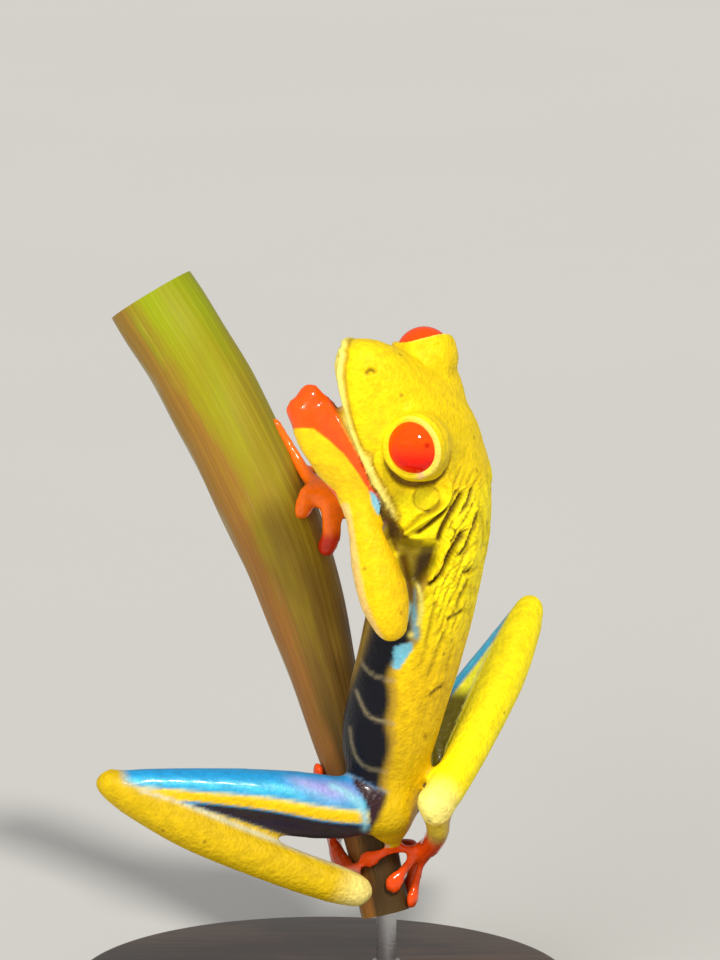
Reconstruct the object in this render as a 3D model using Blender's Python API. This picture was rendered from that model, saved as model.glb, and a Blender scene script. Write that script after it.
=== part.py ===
"""A life-size red-eyed tree frog, clinging to a cut length of leaf stalk on a display stand.

Places are in millimetres as the picture shows them: (across, away, up). At the end everything is
turned by the tilt of the view and set on the stand, in metres, with +Z up.
"""
import math

import bpy
import bmesh
import numpy as np
from mathutils import Matrix, Vector

# Driving dimensions
VIEW_TILT = math.radians(12.0)
LIFT = (0.0, -9.0, 10.0)
GAP = 0.3
FINE_VOXEL = 0.42
EYE_RADIUS = 3.3
SNOUT = 10.8
BASE_HALF_SIZE = (32.0, 28.0)
BASE_THICKNESS = 5.0
BASE_PROFILE = [
    # inset from the rim, height above the floor
    (0.6, 0.0), (0.0, 0.5), (0.0, 1.75), (0.4, 2.05), (1.05, 2.3), (1.3, 3.1),
    (1.5, 3.8), (2.05, 4.25), (2.42, 4.65), (3.2, BASE_THICKNESS),
]
ROD_RADIUS = 1.2
ROD_DEPTH = 3.0

# Joints of the skeleton. The left side is the one nearer the picture.
HEAD = np.array((11.6, -16.0, 65.9))
SHOULDER_LEFT = (10.2, -9.4, 48.8)
ELBOW_LEFT = (8.0, -14.8, 39.6)
WRIST_LEFT = (4.5, -16.2, 52.6)
SHOULDER_RIGHT = (15.0, -4.4, 52.6)
ELBOW_RIGHT = (12.0, 5.6, 43.5)
WRIST_RIGHT = (3.4, 2.6, 54.4)
HIP_LEFT = (6.3, -2.2, 17.8)
KNEE_LEFT = (-24.5, -9.0, 21.3)
HEEL_LEFT = (4.2, -1.2, 8.2)
HIP_RIGHT = (10.3, 3.2, 20.4)
KNEE_RIGHT = (25.1, 19.0, 41.0)
HEEL_RIGHT = (13.2, -5.2, 18.2)

# The head's own axes, and which way the back faces at the rump and at the shoulders
HEAD_RIGHT = np.array((0.120, 0.659, 0.743))
HEAD_FORWARD = np.array((-0.587, -0.557, 0.588))
HEAD_UP = np.array((0.801, -0.506, 0.320))
RUMP_BACK = (0.760, -0.600, -0.245)
SHOULDER_BACK = (0.800, -0.560, 0.100)


def unit(vector):
    vector = np.asarray(vector, float)
    return vector / np.linalg.norm(vector)


def spline(rows, steps):
    """Rows of numbers read smoothly, steps times between each pair: a Catmull-Rom curve."""
    rows = np.asarray(rows, float)
    ends = np.vstack([2 * rows[0] - rows[1], rows, 2 * rows[-1] - rows[-2]])
    out = []
    for i in range(len(rows) - 1):
        p0, p1, p2, p3 = ends[i:i + 4]
        for t in np.arange(steps) / steps:
            out.append(0.5 * (2 * p1 + (p2 - p0) * t + (2 * p0 - 5 * p1 + 4 * p2 - p3) * t ** 2
                              + (3 * p1 - p0 - 3 * p2 + p3) * t ** 3))
    return np.vstack([out, rows[-1]])


def closed_rings(rings):
    """Points and faces of a closed shape from rings of points, with a pole at each end."""
    count, sides = len(rings), len(rings[0])
    points = np.vstack([np.vstack(rings), np.mean(rings[0], axis=0), np.mean(rings[-1], axis=0)])
    faces = []
    for i in range(count - 1):
        for j in range(sides):
            k = (j + 1) % sides
            faces.append((i * sides + j, i * sides + k, (i + 1) * sides + k, (i + 1) * sides + j))
    first, last = count * sides, count * sides + 1
    for j in range(sides):
        k = (j + 1) % sides
        faces.append((first, k, j))
        faces.append((last, (count - 1) * sides + j, (count - 1) * sides + k))
    return points, faces


def limb(stations, back, sides=14, steps=3):
    """A rounded tube through stations of (across, away, up, half width, half height).

    The width lies across `back`, the direction its upper side faces, given once or for both ends.
    """
    rows = spline(stations, steps)
    back = np.atleast_2d(np.asarray(back, float))
    turns = np.linspace(0, 2 * np.pi, sides, endpoint=False)
    centres, widths, heights = rows[:, :3], np.maximum(rows[:, 3], 0.15), np.maximum(rows[:, 4], 0.15)
    along = np.gradient(centres, axis=0)
    along /= np.linalg.norm(along, axis=1)[:, None]
    rings = []
    rounding = np.radians((80, 55, 28))

    def ring(centre, forward, facing, width, height):
        up = unit(facing - forward * (facing @ forward))
        side = np.cross(forward, up)
        return centre + np.outer(np.cos(turns) * width, side) + np.outer(np.sin(turns) * height, up)

    for i, centre in enumerate(centres):
        share = i / (len(centres) - 1)
        facing = back[0] * (1 - share) + back[-1] * share
        size = min(widths[i], heights[i])
        ends = [(math.sin(a), math.cos(a)) for a in rounding]
        if i == 0:
            rings += [ring(centre - along[0] * size * s, along[0], facing, widths[0] * c, heights[0] * c)
                      for s, c in ends]
        rings.append(ring(centre, along[i], facing, widths[i], heights[i]))
        if i == len(centres) - 1:
            rings += [ring(centre + along[i] * size * s, along[i], facing, widths[i] * c, heights[i] * c)
                      for s, c in reversed(ends)]
    return closed_rings(rings)


def bone(start, end, profile, bow=(0, 0, 0)):
    """Stations along a bone, from a profile of (share of its length, half width, half height).

    `bow` is how far the flesh stands off the straight line at mid length.
    """
    start, end, bow = np.array(start), np.array(end), np.array(bow)
    return [(*(start + (end - start) * share + bow * math.sin(math.pi * min(max(share, 0), 1))), width, height)
            for share, width, height in profile]


def ball(centre, radius, sides=20, stretch=(1, 1, 1), axes=np.eye(3)):
    """A ball of latitude rings, stretched along the rows of `axes`."""
    rings = []
    turns = np.linspace(0, 2 * np.pi, sides, endpoint=False)
    for tilt in np.linspace(0, np.pi, sides // 2 + 1)[1:-1]:
        local = np.stack([np.sin(tilt) * np.cos(turns), np.sin(tilt) * np.sin(turns),
                          np.full(sides, -np.cos(tilt))], axis=1) * radius * np.array(stretch)
        rings.append(np.asarray(centre) + local @ np.asarray(axes))
    return closed_rings(rings)


# Meshes, all in millimetres until the end
def mesh_object(name, shells):
    """One object that holds closed shells of points and faces."""
    made = bmesh.new()
    for points, faces in shells:
        verts = [made.verts.new(p) for p in points]
        for face in faces:
            made.faces.new([verts[i] for i in face])
    bmesh.ops.recalc_face_normals(made, faces=made.faces)
    mesh = bpy.data.meshes.new(name)
    made.to_mesh(mesh)
    made.free()
    item = bpy.data.objects.new(name, mesh)
    bpy.context.scene.collection.objects.link(item)
    return item


def apply_modifiers(item):
    bpy.context.view_layer.update()
    graph = bpy.context.evaluated_depsgraph_get()
    mesh = bpy.data.meshes.new_from_object(item.evaluated_get(graph))
    item.modifiers.clear()
    item.data = mesh
    return item


def fused(name, shells, triangles, smoothing=5):
    """The shells grown together into one skin, smoothed, and thinned to about so many triangles."""
    item = mesh_object(name, shells)
    remesh = item.modifiers.new("grow_together", "REMESH")
    remesh.mode = "VOXEL"
    remesh.voxel_size = FINE_VOXEL
    smooth = item.modifiers.new("smooth", "SMOOTH")
    smooth.factor = 0.5
    smooth.iterations = smoothing
    apply_modifiers(item)
    thin = item.modifiers.new("thin", "DECIMATE")
    thin.ratio = triangles / (2 * len(item.data.polygons))
    thin.use_collapse_triangulate = True
    return apply_modifiers(item)


def boolean(item, other, operation="DIFFERENCE"):
    """Joins `other` to the item or cuts it away, then removes `other`."""
    cut = item.modifiers.new("cut", "BOOLEAN")
    cut.operation = operation
    cut.solver = "EXACT"
    cut.object = other
    apply_modifiers(item)
    bpy.data.objects.remove(other)
    return item


def grown(item, by=GAP):
    """A copy of the item, swollen by the gap that two touching pieces keep."""
    copy = item.copy()
    copy.data = item.data.copy()
    bpy.context.scene.collection.objects.link(copy)
    for vertex, normal in zip(copy.data.vertices, [n.vector.copy() for n in copy.data.vertex_normals]):
        vertex.co += normal * by
    return copy


def keep_clear(item, *others, by=GAP):
    for other in others:
        boolean(item, grown(other, by))
    return item


def slab(place, facing, radius):
    """A thin round cutter, as thick as the gap between two pieces."""
    disc = bmesh.new()
    bmesh.ops.create_cone(disc, cap_ends=True, segments=24, radius1=radius, radius2=radius, depth=GAP)
    turn = Vector(facing).to_track_quat("Z", "Y").to_matrix().to_4x4()
    bmesh.ops.transform(disc, matrix=Matrix.Translation(Vector(place)) @ turn, verts=disc.verts)
    mesh = bpy.data.meshes.new("slab")
    disc.to_mesh(mesh)
    disc.free()
    item = bpy.data.objects.new("slab", mesh)
    bpy.context.scene.collection.objects.link(item)
    return item


def islands(item):
    """The item's loose surfaces, each as a list of vertex indices."""
    made = bmesh.new()
    made.from_mesh(item.data)
    made.verts.ensure_lookup_table()
    seen, found = set(), []
    for start in made.verts:
        if start.index in seen:
            continue
        island, queue = [], [start]
        seen.add(start.index)
        while queue:
            vertex = queue.pop()
            island.append(vertex.index)
            for edge in vertex.link_edges:
                near = edge.other_vert(vertex)
                if near.index not in seen:
                    seen.add(near.index)
                    queue.append(near)
        found.append(island)
    made.free()
    return found


def parted(item, anchors):
    """The item split into its loose surfaces. Each name takes the large surface nearest its anchor."""
    places = np.array([v.co for v in item.data.vertices])
    found = sorted(islands(item), key=len, reverse=True)[:len(anchors)]
    pieces = {}
    for name, anchor in anchors.items():
        nearest = min(found, key=lambda island: np.linalg.norm(places[island] - np.array(anchor), axis=1).min())
        found = [island for island in found if island is not nearest]
        keep = set(nearest)
        made = bmesh.new()
        made.from_mesh(item.data)
        made.verts.ensure_lookup_table()
        bmesh.ops.delete(made, geom=[v for v in made.verts if v.index not in keep], context="VERTS")
        mesh = bpy.data.meshes.new(name)
        made.to_mesh(mesh)
        made.free()
        piece = bpy.data.objects.new(name, mesh)
        bpy.context.scene.collection.objects.link(piece)
        pieces[name] = piece
    bpy.data.objects.remove(item)
    return pieces


def fold_cut(before, joint, after, radius):
    """The cut through a bent joint, along the plane that halves its angle."""
    before, joint, after = np.array(before), np.array(joint), np.array(after)
    return slab(joint, unit(unit(before - joint) - unit(after - joint)), radius)


# Stalk: a tapering leaf stalk, round with a shallow channel, cut off square at both ends

STALK_LINE = [(-20.4, 6.5, 78.5, 5.4), (-12.8, 6.5, 65.9, 5.5), (-4.9, 6.5, 49.4, 5.4),
              (0.7, 6.5, 31.8, 3.9), (5.0, 6.5, 16.5, 3.1), (7.6, 6.5, 5.0, 2.9)]
STALK_SIDES = 20


def stalk_shell():
    rows = spline(STALK_LINE, 4)
    turns = np.linspace(0, 2 * np.pi, STALK_SIDES, endpoint=False)
    along = np.gradient(rows[:, :3], axis=0)
    along /= np.linalg.norm(along, axis=1)[:, None]
    rings = []
    for centre, forward, radius in zip(rows[:, :3], along, rows[:, 3]):
        side = unit(np.cross(forward, (0, 1, 0)))
        front = np.cross(side, forward)
        rings.append(centre + radius * (np.outer(np.cos(turns), side) + np.outer(np.sin(turns), front)))
    return closed_rings(rings)


def on_stalk(height, angle, lift):
    """A point beside the stalk: `angle` 0 is its right edge in the picture, 90 degrees its near side."""
    rows = spline(STALK_LINE, 24)
    i = int(np.abs(rows[:, 2] - height).argmin())
    forward = unit(rows[max(i - 1, 0), :3] - rows[min(i + 1, len(rows) - 1), :3])
    right = unit(np.cross((0, 1, 0), forward))
    near = np.cross(right, forward)
    near = near if near[1] < 0 else -near
    turn = math.radians(angle)
    return rows[i, :3] + (rows[i, 3] + lift) * (right * math.cos(turn) + near * math.sin(turn))


# Head

HEAD_ROWS = [
    # forward, half width at the canthus, at the lips, height of the crown, lips and throat
    (-12.0, 4.6, 6.4, 0.4, -5.0, -8.0),
    (-9.0, 5.8, 9.0, 1.8, -6.9, -9.4),
    (-5.5, 6.2, 10.1, 2.5, -6.8, -9.7),
    (-1.5, 5.8, 9.7, 2.4, -6.0, -9.0),
    (2.5, 4.8, 8.4, 1.9, -5.2, -7.9),
    (6.0, 3.6, 6.4, 1.2, -4.5, -6.9),
    (8.6, 2.6, 4.3, 0.3, -4.2, -6.1),
    (10.2, 1.6, 2.4, -0.9, -4.0, -5.3),
    (10.8, 0.5, 0.8, -2.5, -3.8, -4.4),
]
CROWN_SQUARENESS = 2.5
THROAT_SQUARENESS = 2.1
EYE_PLACES = {-1: np.array((-6.45, -0.90, -0.54)), 1: np.array((6.45, 0.14, -0.50))}
GAZE = np.array((0.765, 0.609, 0.209))
EYE_BULGE = 0.3
LID_RADIUS = 4.0
OPENING = (math.radians(61.0), math.radians(53.0))
LID_ROLL = 0.38


def in_head(points):
    """Points of (right, forward, up) on the head, as places in the picture's frame."""
    points = np.atleast_2d(np.asarray(points, float))
    return HEAD + points @ np.array([HEAD_RIGHT, HEAD_FORWARD, HEAD_UP])


def head_ring(row, turns):
    forward, crown_width, lip_width, crown, lips, throat = row
    cosine, sine = np.cos(turns), np.sin(turns)
    power = 2 / np.where(sine > 0, CROWN_SQUARENESS, THROAT_SQUARENESS)
    wide = np.sign(cosine) * np.abs(cosine) ** power
    high = np.sign(sine) * np.abs(sine) ** power
    height = np.where(sine > 0, lips + (crown - lips) * high, lips + (lips - throat) * high)
    width = np.where(sine > 0, lip_width + (crown_width - lip_width) * np.abs(high) ** 0.8, lip_width)
    return np.stack([wide * width, np.full(len(turns), forward), height], axis=1)


def head_shells():
    turns = np.linspace(0, 2 * np.pi, 36, endpoint=False)
    skull = closed_rings([in_head(head_ring(row, turns)) for row in spline(HEAD_ROWS, 4)])
    head_axes = (HEAD_RIGHT, HEAD_FORWARD, HEAD_UP)
    shells = [skull]
    for side in (-1, 1):
        shells.append(ball(in_head(EYE_PLACES[side])[0], LID_RADIUS, 24))
        shells.append(ball(in_head((side * 4.4, -2.2, -1.9))[0], 1.0, 20, (4.3, 6.0, 4.1), head_axes))
    return shells


def mouth_points(outward, height, back=-7.0):
    """Points along the mouth from corner to corner, off the edge of the lips and sunk at the corners."""
    rows = spline(HEAD_ROWS, 2)
    rows = rows[rows[:, 0] > back]
    sunk = 0.7 * (1 - np.clip((rows[:, 0] - back) / 3.5, 0, 1))
    left = np.stack([-(rows[:, 2] + outward - sunk), rows[:, 0] + outward * 0.5, rows[:, 4] + height], axis=1)
    tip = [(0, SNOUT + outward, rows[-1, 4] + height)]
    return in_head(np.vstack([left[:-1], tip, (left * (-1, 1, 1))[-2::-1]]))


def tube(points, radius, sides=6):
    """A round tube along points, with round ends."""
    stations = [(*p, radius, radius) for p in points]
    return limb(stations, tuple(HEAD_UP), sides, 1)


def eye_centre(side):
    return in_head(EYE_PLACES[side] + unit(GAZE * (side, 1, 1)) * EYE_BULGE)[0]


def eye_opening(side, out, spread, sides=28):
    """Points on the edge of the opening between the lids: `out` from the eye's centre, `spread` wider."""
    gaze = unit(GAZE * (side, 1, 1))
    across = unit(np.cross(gaze, (0, 0, 1)))
    up = np.cross(across, gaze)
    points = []
    for turn in np.linspace(0, 2 * np.pi, sides, endpoint=False):
        edge = across * math.cos(turn) * math.tan(OPENING[0]) + up * math.sin(turn) * math.tan(OPENING[1])
        slope = math.atan(np.linalg.norm(edge)) + spread
        points.append(EYE_PLACES[side] + out * (gaze * math.cos(slope) + unit(edge) * math.sin(slope)))
    return np.array(points)


def eyelid(side):
    """The roll of skin round the opening of an eye, as a closed band."""
    centres = eye_opening(side, LID_RADIUS - 0.05, LID_ROLL / LID_RADIUS)
    inward = unit(GAZE * (side, 1, 1))
    eye = EYE_PLACES[side]
    points, faces = [], []
    for i, centre in enumerate(centres):
        outward = unit(centre - eye)
        along = unit(np.cross(np.cross(inward, outward), outward))
        for turn in np.linspace(0, 2 * np.pi, 6, endpoint=False):
            points.append(centre + LID_ROLL * (outward * math.sin(turn) + along * math.cos(turn)))
        for j in range(6):
            k, n = (j + 1) % 6, (i + 1) % len(centres)
            faces.append((i * 6 + j, i * 6 + k, n * 6 + k, n * 6 + j))
    return in_head(np.array(points)), faces


def eye_window(side):
    """The cone that opens the lids down to the ball of the eye."""
    reaches = ((0.5, 0.0), (3.0, 0.0), (6.5, 0.0), (6.5, -0.5))
    return closed_rings([in_head(eye_opening(side, out, spread)) for out, spread in reaches])


# Torso, from the rump to the neck: (across, away, up, half width, half height)
TORSO_LINE = [
    (7.9, 0.9, 16.2, 3.0, 2.8), (7.8, 0.6, 18.2, 3.9, 3.7), (7.7, 0.0, 21.8, 4.8, 4.6),
    (7.8, -1.0, 25.9, 5.7, 5.4), (8.8, -2.0, 30.6, 6.4, 5.5), (10.4, -3.6, 36.5, 6.9, 5.6),
    (11.7, -5.2, 42.3, 7.2, 5.8), (12.6, -7.0, 48.2, 7.5, 6.1), (13.3, -8.8, 53.4, 7.6, 6.0),
    (13.7, -10.5, 57.2, 7.4, 5.3), (13.2, -12.0, 60.0, 6.6, 4.4),
]

# Limbs, as profiles of (share of the bone, half width, half height)
UPPER_ARM = [(-0.3, 1.5, 1.5), (0.2, 2.0, 2.0), (0.6, 1.9, 1.9), (1.0, 2.0, 2.0)]
FOREARM = [(0.0, 2.2, 2.2), (0.25, 2.8, 2.5), (0.55, 2.7, 2.3), (0.85, 2.0, 1.8), (1.0, 1.7, 1.5)]
THIGH = [(-0.06, 2.9, 3.1), (0.15, 3.2, 3.3), (0.4, 2.9, 3.0),
         (0.7, 2.3, 2.3), (0.93, 1.9, 1.8), (1.0, 1.8, 1.7)]
SHIN = [(0.0, 1.9, 1.8), (0.1, 2.2, 2.0), (0.35, 2.5, 2.3),
        (0.7, 2.2, 2.1), (0.93, 2.1, 2.0), (1.0, 2.0, 1.9)]


def digit(path, radius, pad, back):
    """A finger or toe along a path, ending in a flat round pad whose upper side faces `back`."""
    path = spline(path, 3)
    forward = unit(path[-1] - path[-2])
    facing = unit(np.array(back) - forward * (np.array(back) @ forward))
    finger = limb([(*p, radius, radius) for p in path], back, 10, 2)
    disc = ball(path[-1], pad, 12, (1.0, 1.1, 0.55), (np.cross(forward, facing), forward, facing))
    return [finger, disc]


def gripping_digit(palm, middle, tip, radius, lift, pad):
    """A finger or toe bent round the stalk. Its middle joint and tip are (height, angle) on the stalk."""
    end = on_stalk(*tip, pad * 0.55 + 0.1)
    return digit([palm, on_stalk(*middle, lift), end], radius, pad, end - on_stalk(*tip, -2))


def torso_shells():
    return [limb(TORSO_LINE, (RUMP_BACK, SHOULDER_BACK), 28, 3)]


# The near arm is folded under the chin, its fingers held together
def left_arm_shells():
    shells = [limb(bone(SHOULDER_LEFT, ELBOW_LEFT, UPPER_ARM), (-0.6, -0.8, 0.0)),
              limb(bone(ELBOW_LEFT, WRIST_LEFT, FOREARM), (0.2, -1.0, 0.0))]
    palm = (1.5, -16.6, 58.8)
    shells.append(limb([(*WRIST_LEFT, 1.9, 1.5), (3.5, -16.3, 55.8, 2.5, 1.5), (*palm, 3.0, 1.4)],
                       (-0.45, -0.85, 0.2)))
    edge = [(5.2, -16.4, 54.4, 0.9, 0.9), (4.3, -16.2, 57.5, 1.3, 1.1), (3.0, -15.6, 60.8, 1.2, 1.0)]
    shells.append(limb(edge, (-0.45, -0.85, 0.3)))
    tips = [(-2.6, -17.2, 63.8), (-1.2, -16.6, 66.0), (0.6, -15.9, 65.5), (2.1, -15.2, 63.0)]
    for i, tip in enumerate(tips):
        knuckle = np.array(palm) + np.array((-1.5, -0.3, -0.5)) * (1 - i * 0.62)
        middle = (knuckle + np.array(tip)) / 2 + np.array((-0.4, -0.3, 0.0))
        shells += digit([knuckle, middle, tip], 1.0, 1.5, (-0.45, -0.85, 0.3))
    return shells


# The far arm reaches past the chest and holds the stalk with spread fingers
def right_arm_shells():
    shells = [limb(bone(SHOULDER_RIGHT, ELBOW_RIGHT, UPPER_ARM), (0.8, 0.6, 0.0)),
              limb(bone(ELBOW_RIGHT, WRIST_RIGHT, FOREARM), (0.5, 0.6, 0.6))]
    palm = np.array((0.4, 1.5, 55.2))
    shells.append(limb([(*WRIST_RIGHT, 1.6, 1.3), (*palm, 1.9, 1.1)], (0.4, -0.8, 0.4)))
    tips = [(60.4, 12), (56.0, -38), (51.4, 58), (47.4, 42)]
    middles = [(57.0, 14), (54.4, -5), (52.8, 46), (50.0, 32)]
    for tip, middle, radius in zip(tips, middles, (0.65, 0.7, 0.85, 0.85)):
        shells += gripping_digit(palm, middle, tip, radius, 2.0, radius * 1.85)
    return shells


# The near leg is folded out to the side, its foot laid up the stalk
def left_leg_shells():
    shells = [limb(bone(HIP_LEFT, KNEE_LEFT, THIGH, (0, 0, 0.6)), (0.1, -0.4, 1.0)),
              limb(bone(KNEE_LEFT, HEEL_LEFT, SHIN, (-0.3, -0.1, -0.9)), (0.1, -0.6, 1.0))]
    ankle = np.array((1.6, 7.6, 12.2))
    shells.append(limb([(*HEEL_LEFT, 1.8, 1.8), (3.2, 2.4, 9.2, 1.6, 1.5), (*ankle, 1.5, 1.1)], (-1, 0, 0.6)))
    for tip in ((8.6, 238), (15.5, 232), (21.8, 206), (22.6, 166), (16.6, 140)):
        middle = ((tip[0] + 13.2) / 2, (tip[1] + 192) / 2)
        shells += gripping_digit(ankle, middle, tip, 0.7, 1.5, 1.35)
    return shells


# The far leg is folded against the flank, its foot laid down the stalk
def right_leg_shells():
    shells = [limb(bone(HIP_RIGHT, KNEE_RIGHT, THIGH), (0.8, -0.5, -0.3)),
              limb(bone(KNEE_RIGHT, HEEL_RIGHT, SHIN, (0.7, 0.0, -0.3)), (0.8, -0.5, -0.3))]
    ankle = np.array((12.4, 5.6, 12.4))
    shells.append(limb([(*HEEL_RIGHT, 1.8, 1.8), (13.5, -2.6, 15.4, 1.6, 1.5), (*ankle, 1.6, 1.1)], (1, 0, 0.2)))
    for tip in ((12.0, 98), (8.4, 62), (5.9, 20), (7.6, -28), (12.0, -66)):
        shells += gripping_digit(ankle, ((tip[0] + 12.4) / 2, tip[1] / 2), tip, 0.7, 2.0, 1.35)
    return shells


# Materials

def material(name, colour, roughness, metallic=0.0):
    made = bpy.data.materials.new(name)
    made.use_nodes = True
    shader = made.node_tree.nodes["Principled BSDF"]
    shader.inputs["Base Color"].default_value = (*colour, 1.0)
    shader.inputs["Roughness"].default_value = roughness
    shader.inputs["Metallic"].default_value = metallic
    return made


def finish(item, name, finish_material, smooth=True):
    """Names the piece, turns it from the picture's frame to the stand's, and brings it to metres."""
    item.name = item.data.name = name
    turn = Matrix.Rotation(-VIEW_TILT, 4, "X")
    item.data.transform(Matrix.Scale(0.001, 4) @ Matrix.Translation(Vector(LIFT)) @ turn)
    item.data.materials.clear()
    item.data.materials.append(finish_material)
    if smooth:
        item.data.shade_smooth()
        item.data.set_sharp_from_angle(angle=math.radians(40))
    return item


def upright(name, bottom, top, half_sizes, place=(0.0, 0.0), sides=48):
    """A round or oval upright piece of the stand, in millimetres."""
    made = bmesh.new()
    bmesh.ops.create_cone(made, cap_ends=True, segments=sides, radius1=1, radius2=1, depth=top - bottom)
    bmesh.ops.scale(made, vec=(*half_sizes, 1), verts=made.verts)
    bmesh.ops.translate(made, vec=(*place, (bottom + top) / 2), verts=made.verts)
    mesh = bpy.data.meshes.new(name)
    made.to_mesh(mesh)
    made.free()
    item = bpy.data.objects.new(name, mesh)
    bpy.context.scene.collection.objects.link(item)
    return item


def turned_base(name):
    """The oval base, whose edge follows BASE_PROFILE."""
    turns = np.linspace(0, 2 * np.pi, 64, endpoint=False)
    rings = []
    for inset, height in BASE_PROFILE:
        across = (BASE_HALF_SIZE[0] - inset) * np.cos(turns)
        deep = (BASE_HALF_SIZE[1] - inset) * np.sin(turns)
        rings.append(np.stack([across, deep, np.full(len(turns), height)], axis=1))
    return mesh_object(name, [closed_rings(rings)])


def standing(item, finish_material):
    """Brings an upright piece to metres."""
    item.data.transform(Matrix.Scale(0.001, 4))
    item.data.materials.append(finish_material)
    item.data.shade_smooth()
    item.data.set_sharp_from_angle(angle=math.radians(40))
    return item


def main():
    for item in list(bpy.data.objects):
        bpy.data.objects.remove(item)

    yellow = material("sunlit_skin", (0.85, 0.72, 0.02), 0.45)
    orange = material("orange_skin", (0.85, 0.12, 0.02), 0.35)
    red = material("eye", (0.70, 0.02, 0.01), 0.08)
    green = material("leaf_stalk", (0.30, 0.26, 0.06), 0.6)
    wood = material("base_wood", (0.05, 0.035, 0.025), 0.4)
    steel = material("rod_steel", (0.6, 0.6, 0.62), 0.3, 1.0)

    # The stand: the rod is pinned up into the cut end of the stalk and down into the base
    stalk = mesh_object("stand_stalk", [stalk_shell()])
    stalk_end = Matrix.Rotation(-VIEW_TILT, 4, "X") @ Vector(STALK_LINE[-1][:3]) + Vector(LIFT)
    rod_size = (ROD_RADIUS, ROD_RADIUS)
    rod = upright("stand_rod", 2.5, stalk_end.z + ROD_DEPTH, rod_size, stalk_end.xy, 20)
    hole = (ROD_RADIUS + GAP, ROD_RADIUS + GAP)
    bore = upright("bore", stalk_end.z - 4, stalk_end.z + ROD_DEPTH + GAP, hole, stalk_end.xy, 20)
    bore.data.transform(Matrix.Rotation(VIEW_TILT, 4, "X") @ Matrix.Translation(-Vector(LIFT)))
    boolean(stalk, bore)
    base = turned_base("stand_base")
    boolean(base, upright("bore", 2.5 - GAP, BASE_THICKNESS + 4, hole, stalk_end.xy, 20))

    # The head and torso are one skin, parted at the neck once the face is on it
    trunk = fused("trunk", torso_shells() + head_shells(), 2700)
    for side in (-1, 1):
        boolean(trunk, mesh_object("lid", [eyelid(side)]), "UNION")
        boolean(trunk, mesh_object("socket", [ball(eye_centre(side), EYE_RADIUS + GAP, 20)]))
        boolean(trunk, mesh_object("window", [eye_window(side)]))
        boolean(trunk, mesh_object("nostril", [ball(in_head((side * 2.5, 8.5, -0.95))[0], 0.5, 8)]))
    boolean(trunk, mesh_object("lips", [tube(mouth_points(-0.35, 0.1), 0.5)]), "UNION")
    boolean(trunk, mesh_object("mouth", [tube(mouth_points(-0.1, -0.62), 0.3)]))
    boolean(trunk, slab((14.6, -10.4, 57.6), (-0.30, -0.42, 0.86), 14.0))
    pieces = parted(trunk, {"head": HEAD, "torso": (10.4, -3.6, 36.5)})
    body = [pieces["head"], keep_clear(pieces["torso"], stalk)]

    left_arm = fused("left_arm", left_arm_shells(), 1250, 3)
    keep_clear(left_arm, *body)
    boolean(left_arm, fold_cut(SHOULDER_LEFT, ELBOW_LEFT, WRIST_LEFT, 10.5))
    boolean(left_arm, slab(WRIST_LEFT, np.array(WRIST_LEFT) - ELBOW_LEFT, 4.0))
    pieces |= parted(left_arm, {"upper_arm_left": SHOULDER_LEFT, "hand_left": (0.0, -16.5, 62.0),
                                "forearm_left": (6.0, -15.5, 44.0)})

    right_arm = fused("right_arm", right_arm_shells(), 1400, 3)
    keep_clear(right_arm, *body, stalk, pieces["hand_left"])
    boolean(right_arm, fold_cut(SHOULDER_RIGHT, ELBOW_RIGHT, WRIST_RIGHT, 7.0))
    boolean(right_arm, slab(WRIST_RIGHT, np.array(WRIST_RIGHT) - ELBOW_RIGHT, 4.0))
    pieces |= parted(right_arm, {"upper_arm_right": SHOULDER_RIGHT, "hand_right": (0.4, 1.5, 55.2),
                                 "forearm_right": (8.0, 4.5, 49.0)})

    left_leg = fused("left_leg", left_leg_shells(), 1600, 3)
    keep_clear(left_leg, *body, stalk)
    boolean(left_leg, fold_cut(HIP_LEFT, KNEE_LEFT, HEEL_LEFT, 21.0))
    boolean(left_leg, fold_cut(KNEE_LEFT, HEEL_LEFT, (1.6, 7.6, 12.2), 4.5))
    pieces |= parted(left_leg, {"thigh_left": (-4.0, -4.0, 19.0), "shin_left": (-8.0, -5.0, 14.0),
                                "foot_left": (1.6, 7.6, 12.2)})

    right_leg = fused("right_leg", right_leg_shells(), 1600, 3)
    keep_clear(right_leg, *body, stalk, pieces["foot_left"])
    boolean(right_leg, fold_cut(HIP_RIGHT, KNEE_RIGHT, HEEL_RIGHT, 28.0))
    boolean(right_leg, fold_cut(KNEE_RIGHT, HEEL_RIGHT, (12.4, 5.6, 12.4), 4.5))
    pieces |= parted(right_leg, {"thigh_right": (15.0, 9.0, 28.0), "shin_right": (18.0, 2.0, 28.0),
                                 "foot_right": (12.4, 5.6, 12.4)})

    for name, piece in pieces.items():
        finish(piece, name, orange if name.startswith(("hand", "foot")) else yellow)
    for side, name in ((-1, "eye_left"), (1, "eye_right")):
        finish(mesh_object(name, [ball(eye_centre(side), EYE_RADIUS, 20)]), name, red)
    finish(stalk, "stand_stalk", green)
    standing(base, wood)
    standing(rod, steel)


main()
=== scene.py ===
"""A life-size red-eyed tree frog, clinging head-up to a cut length of leaf stalk on a display stand.

The frog and the stalk are shaped in the picture's own frame, in millimetres: across, away and up. The
function `placed` turns them by the tilt of the view and sets them on the stand, in metres.
"""
import math

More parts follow.
